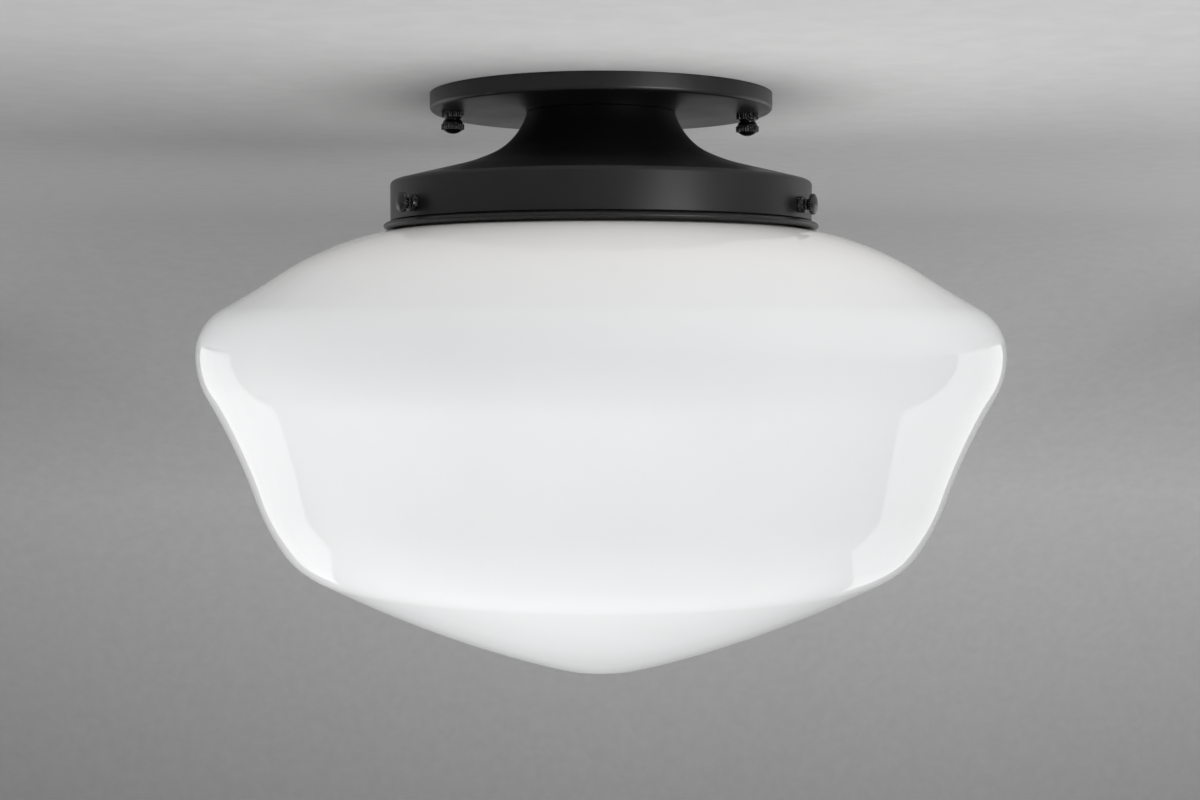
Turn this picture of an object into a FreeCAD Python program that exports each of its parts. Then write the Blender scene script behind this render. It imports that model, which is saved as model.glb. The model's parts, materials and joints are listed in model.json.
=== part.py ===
import FreeCAD, Part
import math
import os

from FreeCAD import Vector

# Semi flush ceiling light: a shallow round canopy, a spun trumpet holder with three thumbscrews,
# and a blown opal glass shade. All sizes are in millimetres.
# The origin is the centre of the ceiling plane, +Z points up, and the whole light hangs below z = 0.
# The canopy screws stand on the X axis.

# Canopy, a shallow pressed pan
canopyRadius = 65.0
canopyDepth = 6.5
canopyWall = 1.2
canopyCorner = 1.5
studSpacing = 112.7

# Threaded nipple and the two locknuts that clamp the stack on it
nippleRadius = 5.1
nippleBore = 3.4
nippleTop = -1.9
nippleBottom = -13.0
locknutFlats = 14.3
locknutThickness = 2.4
lockWasherRadius = 8.4
lockWasherThickness = 0.8
lockWasherGap = 1.2

# Shade holder, spun from one sheet: flat top, trumpet neck, sloping shoulder, band and rolled lip
holderWall = 1.0
holderNeckRadius = 28.4
holderTopCorner = 0.8
holderNeckSlope = 72.5
holderFlare = [(25.4, 25.0), (83.0, 14.1)]
holderShoulderCorner = 1.7
bandRadius = 80.0
bandBottom = -48.1
lipRadius = 82.6
lipTop = -48.8
lipBottom = -51.3
grooveDepth = 0.45

# Thumbscrews, three at equal angles round the band
thumbscrewAngles = {"rear": 90.0, "left": 210.0, "right": 330.0}
thumbscrewZ = -43.6
thumbscrewShankRadius = 2.05
thumbscrewTipRadius = 71.05
thumbscrewCollarRadius = 3.0
thumbscrewCollarLength = 2.3
thumbscrewWaistRadius = 2.0
thumbscrewRimRadius = 3.75
thumbscrewRimStart = 4.3
thumbscrewRimEnd = 5.6
thumbscrewFaceRadius = 3.15
thumbscrewLength = 6.3
thumbscrewTeeth = 25

# Canopy nuts, turned with a knurled collar, a waist and a knurled domed end
nutCollarRadius = 4.25
nutCollarLength = 2.1
nutWaistRadius = 3.05
nutWaistDrop = 3.0
nutBandRadius = 4.4
nutBandStart = 4.6
nutBandEnd = 6.8
nutDomeRadius = 3.6
nutLength = 8.3
nutTeeth = 32
knurlDepth = 0.3
knurlBevel = 0.2

# Screws that carry the canopy from the strap
studRadius = 2.05
studTip = -13.2
screwClearance = 0.05
panHeadRadius = 3.5
panHeadHeight = 2.1

# Mounting strap across the ceiling box
strapThickness = 1.6
strapWidth = 18.0
strapHalfLength = 61.0
strapJoggleStart = 50.5
strapJoggleRun = 2.0
strapJoggle = 2.2
strapEyeRadius = 15.0
strapHoleRadius = 11.0
slotSpacing = 79.4
slotLength = 18.0
slotRadius = 2.4

# Ground screw, a slotted hexagon head with a flange
groundScrewX = -22.0
groundScrewRadius = 2.3
groundFlangeRadius = 4.2
groundFlangeThickness = 0.6
groundHeadFlats = 6.4
groundHeadHeight = 2.2

# Opal glass: rim, neck, and an outline of tangent arcs given as radius and end slope.
# A slope is in degrees below the outward horizontal: 90 runs straight down, 180 runs inwards.
glassWall = 3.0
glassRimRadius = 74.6
glassRimTop = -35.3
glassRimHeight = 5.9
glassRimRound = 1.5
glassRimFall = 0.3
glassNeckRadius = 71.0
glassNeckEnd = -44.5
glassNeckFillet = 7.0
glassTopSlope = 10.7
glassTopRun = 4.1
glassArcs = [
    (110.3, 33.8),
    (313.0, 29.5),
    (19.6, 88.2),
    (31.4, 119.6),
    (221.0, 108.8),
    (81.5, 123.5),
    (27.2, 151.5),
    (497.0, 162.6),
]

# Lampholder: a bent bracket, a porcelain body, a screw shell and a centre contact
bracketThickness = 1.4
bracketWidth = 14.0
bracketHalfSpan = 13.2
bracketBend = 1.2
bracketFoot = 20.0
bracketDrop = 9.5
bracketScrewX = 17.4
bracketScrewRadius = 1.6
bracketScrewLength = 9.0
smallHeadRadius = 2.7
smallHeadHeight = 1.8
socketTopRadius = 20.8
socketMouthRadius = 22.0
socketHeight = 43.0
socketBore = 14.4
socketBoreDepth = 32.0
socketEdge = 2.0
shellWall = 0.4
shellLength = 28.0
shellFlange = 11.4
contactThickness = 0.6
contactHalfLength = 5.5
contactWidth = 6.0
lugWidth = 4.0
contactRise = 2.0
terminalY = 13.0
terminalTab = 0.8
terminalStemY = 9.0
terminalStemRadius = 1.4

# Bulb with a 26 mm screw base
bulbGap = 0.3
bulbContactRadius = 4.6
bulbContactHeight = 1.4
bulbInsulatorTop = 5.6
bulbInsulatorBottom = 11.6
bulbInsulatorHeight = 3.4
bulbShellRadius = 13.15
bulbShellLength = 21.5
bulbNeckRadius = 13.9
bulbRadius = 30.0
bulbDomeDrop = 51.0
bulbSeamRise = 11.0
bulbDomeWall = 1.6

canopyFloor = -canopyDepth + canopyWall
holderFloor = -canopyDepth - holderWall
socketTop = holderFloor - bracketDrop
socketBottom = socketTop - socketHeight
socketBoreTop = socketBottom + socketBoreDepth


def point(r, z):
    return Vector(r, 0, z)


def line(a, b):
    return Part.LineSegment(point(*a), point(*b)).toShape()


def arc(a, through, b):
    return Part.Arc(point(*a), point(*through), point(*b)).toShape()


def cap(radius, rimZ, topZ):
    """A shallow dome's profile from its rim to the axis, as part of a true sphere."""
    rise = topZ - rimZ
    ball = (radius ** 2 + rise ** 2) / (2 * rise)
    half = math.asin(radius / abs(ball)) / 2
    middle = (abs(ball) * math.sin(half), topZ - ball + ball * math.cos(half))
    return arc((radius, rimZ), middle, (0, topZ))


def revolve(edges):
    """Turn a closed outline in the XZ half plane into a solid."""
    wire = Part.Wire(Part.__sortEdges__(edges))
    return Part.Face(wire).revolve(Vector(0, 0, 0), Vector(0, 0, 1), 360)


def polygon(points):
    ends = points[1:] + points[:1]
    return [line(a, b) for a, b in zip(points, ends)]


def ring(outer, inner, low, high):
    return revolve(polygon([(inner, low), (outer, low), (outer, high), (inner, high)]))


def rod(radius, low, high, x=0.0, y=0.0):
    return Part.makeCylinder(radius, high - low, Vector(x, y, low))


def walk(start, slope, steps, inset=0.0):
    """Follow tangent lines and arcs, and return the edges and the end point.

    A step is a length, or a radius with the slope that its arc ends at. An inset moves the whole path
    to the body's inner side, so the same steps give both faces of a wall.
    """
    r, z = start
    t = math.radians(slope)
    r -= inset * math.sin(t)
    z -= inset * math.cos(t)
    edges = []
    for step in steps:
        if isinstance(step, tuple):
            radius, end = step[0], math.radians(step[1])
            side = 1 if end > t else -1
            turn = side * radius - inset
            centre = (r - turn * math.sin(t), z - turn * math.cos(t))
            half = (t + end) / 2
            middle = (centre[0] + turn * math.sin(half), centre[1] + turn * math.cos(half))
            finish = (centre[0] + turn * math.sin(end), centre[1] + turn * math.cos(end))
            edges.append(arc((r, z), middle, finish))
            t = end
        else:
            finish = (r + step * math.cos(t), z - step * math.sin(t))
            edges.append(line((r, z), finish))
        r, z = finish
    return edges, (r, z)


def hexagonNut(flats, bore, low, thickness):
    corner = flats / math.sqrt(3)
    corners = [Vector(corner * math.cos(k * math.pi / 3), corner * math.sin(k * math.pi / 3), low)
               for k in range(7)]
    prism = Part.Face(Part.makePolygon(corners)).extrude(Vector(0, 0, thickness))
    bevel = corner - flats / 2
    top = low + thickness
    outline = polygon([(bore, low), (corner - bevel, low), (corner, low + bevel / 2),
                       (corner, top - bevel / 2), (corner - bevel, top), (bore, top)])
    return prism.common(revolve(outline))


def lockWasher(low):
    washer = ring(lockWasherRadius, nippleRadius, low, low + lockWasherThickness)
    slit = Part.makeBox(lockWasherRadius, lockWasherGap, 2 * lockWasherThickness)
    slit.translate(Vector(0, -lockWasherGap / 2, low - lockWasherThickness / 2))
    return washer.cut(slit)


def panScrew(headRadius, headHeight, shankRadius, seat, tip, up=1):
    """A pan head screw on the Z axis. The head sits above its seat when up is 1, below it when up is -1."""
    top = seat + up * headHeight
    edges = [
        line((0, top), (headRadius * 0.55, top)),
        arc((headRadius * 0.55, top), (headRadius * 0.9, top - up * headHeight * 0.3),
            (headRadius, top - up * headHeight * 0.75)),
        line((headRadius, top - up * headHeight * 0.75), (headRadius, seat)),
        line((headRadius, seat), (shankRadius, seat)),
        line((shankRadius, seat), (shankRadius, tip)),
        line((shankRadius, tip), (0, tip)),
        line((0, tip), (0, top)),
    ]
    screw = revolve(edges)
    slot = Part.makeBox(2 * headRadius, headRadius * 0.25, headHeight * 0.5)
    low = top - headHeight * 0.5 if up > 0 else top
    slot.translate(Vector(-headRadius, -headRadius * 0.125, low))
    return screw.cut(slot)


def star(outer, teeth, z):
    """Closed outline of a straight knurl at one height, with its roots cut by the knurl depth."""
    corners = []
    for k in range(2 * teeth + 1):
        radius = outer if k % 2 else outer - knurlDepth
        angle = k * math.pi / teeth
        corners.append(Vector(radius * math.cos(angle), radius * math.sin(angle), z))
    return Part.makePolygon(corners)


def knurl(outer, teeth, low, high):
    """A straight knurled ring with flat flanks, drawn in a little at both ends."""
    inner = outer - knurlBevel
    sections = [star(inner, teeth, low), star(outer, teeth, low + knurlBevel),
                star(outer, teeth, high - knurlBevel), star(inner, teeth, high)]
    return Part.makeLoft(sections, True, True)


def makeStrap():
    """Flat bar with a round eye, two slots for the box screws, and ends set down for the screw heads."""
    halfWidth = strapWidth / 2
    end = strapJoggleStart + strapJoggleRun
    flat = Part.makeBox(2 * strapJoggleStart, strapWidth, strapThickness,
                        Vector(-strapJoggleStart, -halfWidth, -strapThickness))
    flat = flat.fuse(rod(strapEyeRadius, -strapThickness, 0))
    for side in (-1, 1):
        outline = [(side * strapJoggleStart, 0), (side * end, -strapJoggle),
                   (side * strapHalfLength, -strapJoggle),
                   (side * strapHalfLength, -strapJoggle - strapThickness),
                   (side * end, -strapJoggle - strapThickness),
                   (side * strapJoggleStart, -strapThickness)]
        face = Part.Face(Part.Wire(polygon(outline)))
        wing = face.extrude(Vector(0, strapWidth, 0))
        wing.translate(Vector(0, -halfWidth, 0))
        flat = flat.fuse(wing)
    rounded = rod(strapHalfLength, -10, 1).common(
        Part.makeBox(2 * strapHalfLength, strapEyeRadius * 2, 11,
                     Vector(-strapHalfLength, -strapEyeRadius, -10)))
    flat = flat.common(rounded)
    holes = [rod(strapHoleRadius, -5, 1), rod(groundScrewRadius, -5, 1, groundScrewX)]
    for side in (-1, 1):
        holes.append(rod(studRadius, -5, 1, side * studSpacing / 2))
        reach = slotLength / 2 - slotRadius
        middle = side * slotSpacing / 2
        slot = Part.makeBox(2 * reach, 2 * slotRadius, 6, Vector(middle - reach, -slotRadius, -5))
        holes.append(slot)
        holes.append(rod(slotRadius, -5, 1, middle - reach))
        holes.append(rod(slotRadius, -5, 1, middle + reach))
    for hole in holes:
        flat = flat.cut(hole)
    return flat.removeSplitter()


def makeCanopy():
    steps = [canopyDepth - canopyCorner, (canopyCorner, 180.0),
             canopyRadius - canopyCorner - nippleRadius]
    outer, outerEnd = walk((canopyRadius, 0), 90.0, steps)
    inner, innerEnd = walk((canopyRadius, 0), 90.0, steps, canopyWall)
    edges = outer + inner
    edges.append(line(outerEnd, innerEnd))
    edges.append(line((canopyRadius, 0), (canopyRadius - canopyWall, 0)))
    pan = revolve(edges)
    for side in (-1, 1):
        hole = rod(studRadius + 0.4, -canopyDepth - 1, 0, side * studSpacing / 2)
        pan = pan.cut(hole)
    return pan


def makeHolder():
    """Spun sheet of one wall, with three tapped holes drawn inwards through the band."""
    slope = math.radians(holderFlare[-1][1])
    top = [holderNeckRadius - nippleRadius - holderTopCorner * math.sin(math.radians(holderNeckSlope)),
           (holderTopCorner, holderNeckSlope)]
    flare = top + holderFlare
    reached = walk((nippleRadius, -canopyDepth), 0.0, flare)[1]
    cornerRun = holderShoulderCorner * (1 - math.sin(slope))
    shoulderRun = (bandRadius - reached[0] - cornerRun) / math.cos(slope)
    shoulder = flare + [shoulderRun, (holderShoulderCorner, 90.0)]
    bandTop = walk((nippleRadius, -canopyDepth), 0.0, shoulder)[1][1]
    innerRadius = bandRadius - holderWall
    outer, outerEnd = walk((nippleRadius, -canopyDepth), 0.0, shoulder + [bandTop - bandBottom])
    inner, innerEnd = walk((nippleRadius, -canopyDepth), 0.0,
                           shoulder + [bandTop - lipBottom - 0.5], holderWall)
    groove = (bandRadius - grooveDepth, (bandBottom + lipTop) / 2)
    lipStart = (bandRadius + 0.7, lipTop)
    lipMiddle = (lipRadius, (lipTop + lipBottom) / 2)
    lipEnd = (bandRadius + 0.7, lipBottom)
    edges = outer + inner
    edges.append(line(outerEnd, groove))
    edges.append(line(groove, lipStart))
    edges.append(arc(lipStart, lipMiddle, lipEnd))
    edges.append(line(lipEnd, (innerRadius + 0.5, lipBottom)))
    edges.append(line((innerRadius + 0.5, lipBottom), innerEnd))
    edges.append(line((nippleRadius, -canopyDepth), (nippleRadius, -canopyDepth - holderWall)))
    sheet = revolve(edges)
    for angle in thumbscrewAngles.values():
        sheet = sheet.fuse(radial(rod(3.2, innerRadius - 1.6, bandRadius - 0.3), angle))
    for angle in thumbscrewAngles.values():
        hole = rod(thumbscrewShankRadius + screwClearance, innerRadius - 3, bandRadius + 2)
        sheet = sheet.cut(radial(hole, angle))
    return sheet


def radial(shape, angle):
    """Lay a shape made along +Z onto a thumbscrew's line, so that its z becomes the distance outwards."""
    laid = shape.copy()
    laid.rotate(Vector(0, 0, 0), Vector(0, 1, 0), 90)
    laid.rotate(Vector(0, 0, 0), Vector(0, 0, 1), angle)
    laid.translate(Vector(0, 0, thumbscrewZ))
    return laid


def makeThumbscrewShank():
    start = thumbscrewTipRadius
    bevel = 0.5
    seat = bandRadius + 0.4
    points = [(0, start), (thumbscrewShankRadius - bevel, start),
              (thumbscrewShankRadius, start + bevel), (thumbscrewShankRadius, seat), (0, seat)]
    return revolve(polygon(points))


def makeThumbscrewHead():
    """Smooth collar, hollow waist and a knurled rim with a slightly domed face."""
    seat = bandRadius + 0.1
    shankEnd = bandRadius + 0.4
    collar = bandRadius + thumbscrewCollarLength
    rimStart = bandRadius + thumbscrewRimStart
    rimEnd = bandRadius + thumbscrewRimEnd
    face = bandRadius + thumbscrewLength
    bevel = 0.35
    core = thumbscrewRimRadius - knurlDepth - 0.05
    waist = (thumbscrewWaistRadius, (collar + rimStart) / 2)
    body = revolve([
        line((thumbscrewShankRadius, seat), (thumbscrewCollarRadius, seat)),
        line((thumbscrewCollarRadius, seat), (thumbscrewCollarRadius, collar - bevel)),
        line((thumbscrewCollarRadius, collar - bevel), (thumbscrewCollarRadius - bevel, collar)),
        arc((thumbscrewCollarRadius - bevel, collar), waist, (core, rimStart + 0.1)),
        line((core, rimStart + 0.1), (core, rimEnd - 0.1)),
        line((core, rimEnd - 0.1), (thumbscrewFaceRadius, rimEnd + 0.2)),
        cap(thumbscrewFaceRadius, rimEnd + 0.2, face),
        line((0, face), (0, shankEnd)),
        line((0, shankEnd), (thumbscrewShankRadius, shankEnd)),
        line((thumbscrewShankRadius, shankEnd), (thumbscrewShankRadius, seat)),
    ])
    return body.fuse(knurl(thumbscrewRimRadius, thumbscrewTeeth, rimStart, rimEnd))


def makeNut(x):
    """Turned cap nut, hanging below the canopy with its blind thread on the screw."""
    top = -canopyDepth
    collarEnd = top - nutCollarLength
    waist = top - nutWaistDrop
    bandStart = top - nutBandStart
    bandEnd = top - nutBandEnd
    bottom = top - nutLength
    bore = studRadius + screwClearance
    boreEnd = studTip - 0.4
    collarCore = nutCollarRadius - knurlDepth - 0.05
    bandCore = nutBandRadius - knurlDepth - 0.05
    body = revolve([
        line((bore, top - 0.1), (collarCore, top - 0.1)),
        line((collarCore, top - 0.1), (collarCore, collarEnd + 0.1)),
        arc((collarCore, collarEnd + 0.1), (nutWaistRadius + 0.15, waist + 0.4), (nutWaistRadius, waist)),
        arc((nutWaistRadius, waist), (bandCore - 0.35, (waist + bandStart) / 2),
            (bandCore, bandStart - 0.1)),
        line((bandCore, bandStart - 0.1), (bandCore, bandEnd + 0.1)),
        line((bandCore, bandEnd + 0.1), (nutDomeRadius, bandEnd - 0.1)),
        cap(nutDomeRadius, bandEnd - 0.1, bottom),
        line((0, bottom), (0, boreEnd)),
        line((0, boreEnd), (bore, boreEnd)),
        line((bore, boreEnd), (bore, top - 0.1)),
    ])
    hollow = rod(bore, boreEnd, top + 1)
    nut = body.fuse(knurl(nutCollarRadius, nutTeeth, collarEnd, top).cut(hollow))
    nut = nut.fuse(knurl(nutBandRadius, nutTeeth, bandEnd, bandStart).cut(hollow))
    nut.translate(Vector(x, 0, 0))
    return nut


def makeGroundScrew():
    seat = -strapThickness
    flange = seat - groundFlangeThickness
    screw = ring(groundFlangeRadius, groundScrewRadius, flange, seat)
    screw = screw.fuse(rod(groundScrewRadius, flange, 0))
    head = hexagonNut(groundHeadFlats, 0, flange - groundHeadHeight, groundHeadHeight)
    slot = Part.makeBox(12, 1.0, 1.2, Vector(-6, -0.5, flange - groundHeadHeight))
    screw = screw.fuse(head.cut(slot)).removeSplitter()
    screw.translate(Vector(groundScrewX, 0, 0))
    return screw


def makeGlass():
    """Blown shade of one wall: both faces follow the same arcs, and the last arc ends on the axis."""
    steps = [(glassNeckFillet, glassTopSlope), glassTopRun] + glassArcs
    neck = (glassNeckRadius, glassNeckEnd)
    domeStart = walk(neck, 90.0, steps)[1]
    domeRadius = domeStart[0] / math.sin(math.radians(180.0 - glassArcs[-1][1]))
    steps.append((domeRadius, 180.0))
    outer, outerEnd = walk(neck, 90.0, steps)
    inner, innerEnd = walk(neck, 90.0, steps, glassWall)
    innerNeck = glassNeckRadius - glassWall
    rimBottom = glassRimTop - glassRimHeight
    k = glassRimRound
    bend = k * (1 - math.sqrt(0.5))
    edges = outer + inner
    edges += [
        line((0, outerEnd[1]), (0, innerEnd[1])),
        line((innerNeck, glassNeckEnd), (innerNeck, glassRimTop - k)),
        arc((innerNeck, glassRimTop - k), (innerNeck + bend, glassRimTop - bend),
            (innerNeck + k, glassRimTop)),
        line((innerNeck + k, glassRimTop), (glassRimRadius - k, glassRimTop)),
        arc((glassRimRadius - k, glassRimTop), (glassRimRadius - bend, glassRimTop - bend),
            (glassRimRadius, glassRimTop - k)),
        line((glassRimRadius, glassRimTop - k), (glassRimRadius, rimBottom + k)),
        arc((glassRimRadius, rimBottom + k), (glassRimRadius - bend, rimBottom + bend),
            (glassRimRadius - k, rimBottom)),
        line((glassRimRadius - k, rimBottom), (glassNeckRadius, rimBottom - glassRimFall)),
        line((glassNeckRadius, rimBottom - glassRimFall), (glassNeckRadius, glassNeckEnd)),
    ]
    return revolve(edges)


def bendArc(x, z, radius, start, end):
    """Arc about (x, z) from one angle to another, in degrees."""
    points = []
    for angle in (start, (start + end) / 2, end):
        a = math.radians(angle)
        points.append((x + radius * math.cos(a), z + radius * math.sin(a)))
    return arc(*points)


def makeBracket():
    """Steel strip bent into a bridge: its top is clamped under the holder, its feet sit on the porcelain."""
    top = holderFloor
    foot = socketTop
    t = bracketThickness
    wide = bracketBend + t
    crown = bracketHalfSpan - wide
    ankle = bracketHalfSpan + bracketBend
    heel = foot + wide
    edges = [
        line((0, top), (crown, top)),
        bendArc(crown, top - wide, wide, 90, 0),
        line((bracketHalfSpan, top - wide), (bracketHalfSpan, heel)),
        bendArc(ankle, heel, bracketBend, 180, 270),
        line((ankle, foot + t), (bracketFoot, foot + t)),
        line((bracketFoot, foot + t), (bracketFoot, foot)),
        line((bracketFoot, foot), (ankle, foot)),
        bendArc(ankle, heel, wide, 270, 180),
        line((bracketHalfSpan - t, heel), (bracketHalfSpan - t, top - wide)),
        bendArc(crown, top - wide, bracketBend, 0, 90),
        line((crown, top - t), (0, top - t)),
        line((0, top - t), (0, top)),
    ]
    half = Part.Face(Part.Wire(edges)).extrude(Vector(0, bracketWidth, 0))
    half.translate(Vector(0, -bracketWidth / 2, 0))
    strip = half.fuse(half.mirror(Vector(0, 0, 0), Vector(1, 0, 0))).removeSplitter()
    strip = strip.cut(rod(nippleRadius, top - 5, top + 1))
    for side in (-1, 1):
        strip = strip.cut(rod(bracketScrewRadius, foot - 1, foot + 3, side * bracketScrewX))
    return strip


def makeBracketScrews():
    seat = socketTop + bracketThickness
    screws = []
    for side in (-1, 1):
        screw = panScrew(smallHeadRadius, smallHeadHeight, bracketScrewRadius, seat,
                         seat - bracketScrewLength)
        screw.translate(Vector(side * bracketScrewX, 0, 0))
        screws.append(screw)
    return Part.makeCompound(screws)


def makeSocketBody():
    """Porcelain body with a deep bore for the screw shell, and holes for its screws and terminals."""
    middle = socketTop - socketHeight * 0.5
    waist = middle - 4.0
    e = socketEdge
    bend = e * (1 - math.sqrt(0.5))
    edges = [
        line((0, socketTop), (socketTopRadius - e, socketTop)),
        arc((socketTopRadius - e, socketTop), (socketTopRadius - bend, socketTop - bend),
            (socketTopRadius, socketTop - e)),
        line((socketTopRadius, socketTop - e), (socketTopRadius, middle)),
        line((socketTopRadius, middle), (socketMouthRadius, waist)),
        line((socketMouthRadius, waist), (socketMouthRadius, socketBottom + e)),
        arc((socketMouthRadius, socketBottom + e), (socketMouthRadius - bend, socketBottom + bend),
            (socketMouthRadius - e, socketBottom)),
        line((socketMouthRadius - e, socketBottom), (socketBore + 1.0, socketBottom)),
        line((socketBore + 1.0, socketBottom), (socketBore, socketBottom + 1.0)),
        line((socketBore, socketBottom + 1.0), (socketBore, socketBoreTop)),
        line((socketBore, socketBoreTop), (0, socketBoreTop)),
        line((0, socketBoreTop), (0, socketTop)),
    ]
    body = revolve(edges)
    tip = socketTop + bracketThickness - bracketScrewLength
    for side in (-1, 1):
        body = body.cut(rod(bracketScrewRadius, tip, socketTop, side * bracketScrewX))
        body = body.cut(rod(terminalStemRadius, socketBoreTop, socketTop, 0, side * terminalStemY))
        body = body.cut(rod(bracketScrewRadius, socketTop - 6, socketTop, 0, side * terminalY))
    return body


def terminalTop(side):
    """Tab on the porcelain and the stem that carries the current down through it."""
    reach = terminalY + 3.4 - (terminalStemY - 2.4)
    low = terminalStemY - 2.4 if side > 0 else -terminalStemY + 2.4 - reach
    tab = Part.makeBox(7.0, reach, terminalTab, Vector(-3.5, low, socketTop))
    tab = tab.cut(rod(bracketScrewRadius, socketTop - 1, socketTop + 2, 0, side * terminalY))
    stem = rod(terminalStemRadius, socketBoreTop, socketTop + terminalTab, 0, side * terminalStemY)
    return tab.fuse(stem)


def makeScrewShell():
    """Thin shell that the bulb screws into, with a turned-in top joined to its terminal."""
    top = socketBoreTop
    bottom = top - shellLength
    inner = socketBore - shellWall
    outline = [(shellFlange, top), (socketBore, top), (socketBore, bottom), (inner, bottom),
               (inner, top - shellWall), (shellFlange, top - shellWall)]
    shell = revolve(polygon(outline))
    lugStart = -(socketBore - shellWall)
    lug = Part.makeBox(lugWidth, -terminalStemY - lugStart, shellWall,
                       Vector(-lugWidth / 2, lugStart, top - shellWall))
    return shell.fuse(lug).fuse(terminalTop(-1)).removeSplitter()


def makeCentreContact():
    """Springy brass leaf, bowed down to meet the bulb, with its rivet and terminal tab."""
    top = socketBoreTop
    t = contactThickness
    low = top - contactRise
    end = contactHalfLength
    outline = [
        line((-end, top), (-end, top - t)),
        arc((-end, top - t), (0, low - t), (end, top - t)),
        line((end, top - t), (end, top)),
        arc((end, top), (0, low), (-end, top)),
    ]
    leaf = Part.Face(Part.Wire(Part.__sortEdges__(outline))).extrude(Vector(0, contactWidth, 0))
    leaf.translate(Vector(0, -contactWidth / 2, 0))
    leaf.rotate(Vector(0, 0, 0), Vector(0, 0, 1), 90)
    lugStart = end - 0.8
    lugEnd = terminalStemY + terminalStemRadius
    lug = Part.makeBox(lugWidth, lugEnd - lugStart, t, Vector(-lugWidth / 2, lugStart, top - t))
    return leaf.fuse(lug).fuse(terminalTop(1)).removeSplitter()


def makeTerminalScrew(side):
    seat = socketTop + terminalTab
    screw = panScrew(smallHeadRadius + 0.2, smallHeadHeight, bracketScrewRadius, seat, seat - 6.0)
    screw.translate(Vector(0, side * terminalY, 0))
    return screw


def makeBulb():
    """The bulb's five pieces, from its contact down to the frosted dome."""
    top = socketBoreTop - contactRise - contactThickness - bulbGap
    contactBottom = top - bulbContactHeight
    shellTop = contactBottom - bulbInsulatorHeight
    shellBottom = shellTop - bulbShellLength
    domeCentre = shellBottom - bulbDomeDrop
    seam = domeCentre + bulbSeamRise
    seamRadius = math.sqrt(bulbRadius ** 2 - bulbSeamRise ** 2)
    contact = revolve([
        cap(bulbContactRadius, contactBottom, top),
        line((bulbContactRadius, contactBottom), (0, contactBottom)),
        line((0, contactBottom), (0, top)),
    ])
    insulator = revolve(polygon([(0, contactBottom), (bulbInsulatorTop, contactBottom),
                                 (bulbInsulatorBottom, shellTop), (0, shellTop)]))
    shell = revolve(polygon([(0, shellTop), (bulbShellRadius - 0.8, shellTop),
                             (bulbShellRadius, shellTop - 1.2), (bulbShellRadius, shellBottom),
                             (0, shellBottom)]))
    neckEnd = shellBottom - 5.0
    housing = revolve([
        line((0, shellBottom), (bulbShellRadius + 0.2, shellBottom)),
        line((bulbShellRadius + 0.2, shellBottom), (bulbNeckRadius, neckEnd)),
        arc((bulbNeckRadius, neckEnd), (20.4, (neckEnd + seam) / 2), (seamRadius, seam)),
        line((seamRadius, seam), (0, seam)),
        line((0, seam), (0, shellBottom)),
    ])
    inner = bulbRadius - bulbDomeWall
    innerSeam = math.sqrt(inner ** 2 - bulbSeamRise ** 2)
    diffuser = revolve([
        arc((seamRadius, seam), (bulbRadius, domeCentre), (0, domeCentre - bulbRadius)),
        line((0, domeCentre - bulbRadius), (0, domeCentre - inner)),
        arc((0, domeCentre - inner), (inner, domeCentre), (innerSeam, seam)),
        line((innerSeam, seam), (seamRadius, seam)),
    ])
    return {"bulb_contact": contact, "bulb_insulator": insulator, "bulb_screw_shell": shell,
            "bulb_housing": housing, "bulb_diffuser": diffuser}


def makeParts():
    parts = {"mounting_strap": makeStrap()}
    seat = -strapJoggle
    for name, side in (("left", -1), ("right", 1)):
        stud = panScrew(panHeadRadius, panHeadHeight, studRadius, seat, studTip)
        stud.translate(Vector(side * studSpacing / 2, 0, 0))
        parts["canopy_stud_" + name] = stud
        parts["canopy_nut_" + name] = makeNut(side * studSpacing / 2)
    parts["ground_screw"] = makeGroundScrew()
    parts["canopy"] = makeCanopy()
    parts["nipple"] = ring(nippleRadius, nippleBore, nippleBottom, nippleTop)
    parts["canopy_lock_washer"] = lockWasher(canopyFloor)
    parts["canopy_locknut"] = hexagonNut(locknutFlats, nippleRadius,
                                         canopyFloor + lockWasherThickness, locknutThickness)
    parts["shade_holder"] = makeHolder()
    for name, angle in thumbscrewAngles.items():
        parts["thumbscrew_" + name + "_shank"] = radial(makeThumbscrewShank(), angle)
        parts["thumbscrew_" + name + "_head"] = radial(makeThumbscrewHead(), angle)
    washerTop = holderFloor - bracketThickness
    parts["socket_lock_washer"] = lockWasher(washerTop - lockWasherThickness)
    parts["socket_locknut"] = hexagonNut(locknutFlats, nippleRadius,
                                         washerTop - lockWasherThickness - locknutThickness,
                                         locknutThickness)
    parts["socket_bracket"] = makeBracket()
    parts["bracket_screws"] = makeBracketScrews()
    parts["socket_body"] = makeSocketBody()
    parts["socket_screw_shell"] = makeScrewShell()
    parts["centre_contact"] = makeCentreContact()
    parts["terminal_screw_hot"] = makeTerminalScrew(1)
    parts["terminal_screw_neutral"] = makeTerminalScrew(-1)
    parts["glass_globe"] = makeGlass()
    parts.update(makeBulb())
    return parts


os.makedirs("parts", exist_ok=True)
for node, shape in makeParts().items():
    solids = shape.Solids
    print(node, len(solids), "solid", "valid" if shape.isValid() else "NOT VALID",
          round(shape.Volume / 1000, 3), "cm3")
    result = solids[0] if len(solids) == 1 else Part.makeCompound(solids)
    result.exportStep("parts/" + node + ".step")
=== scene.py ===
import json
import math

import bmesh
import bpy
from mathutils import Matrix, Vector

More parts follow.
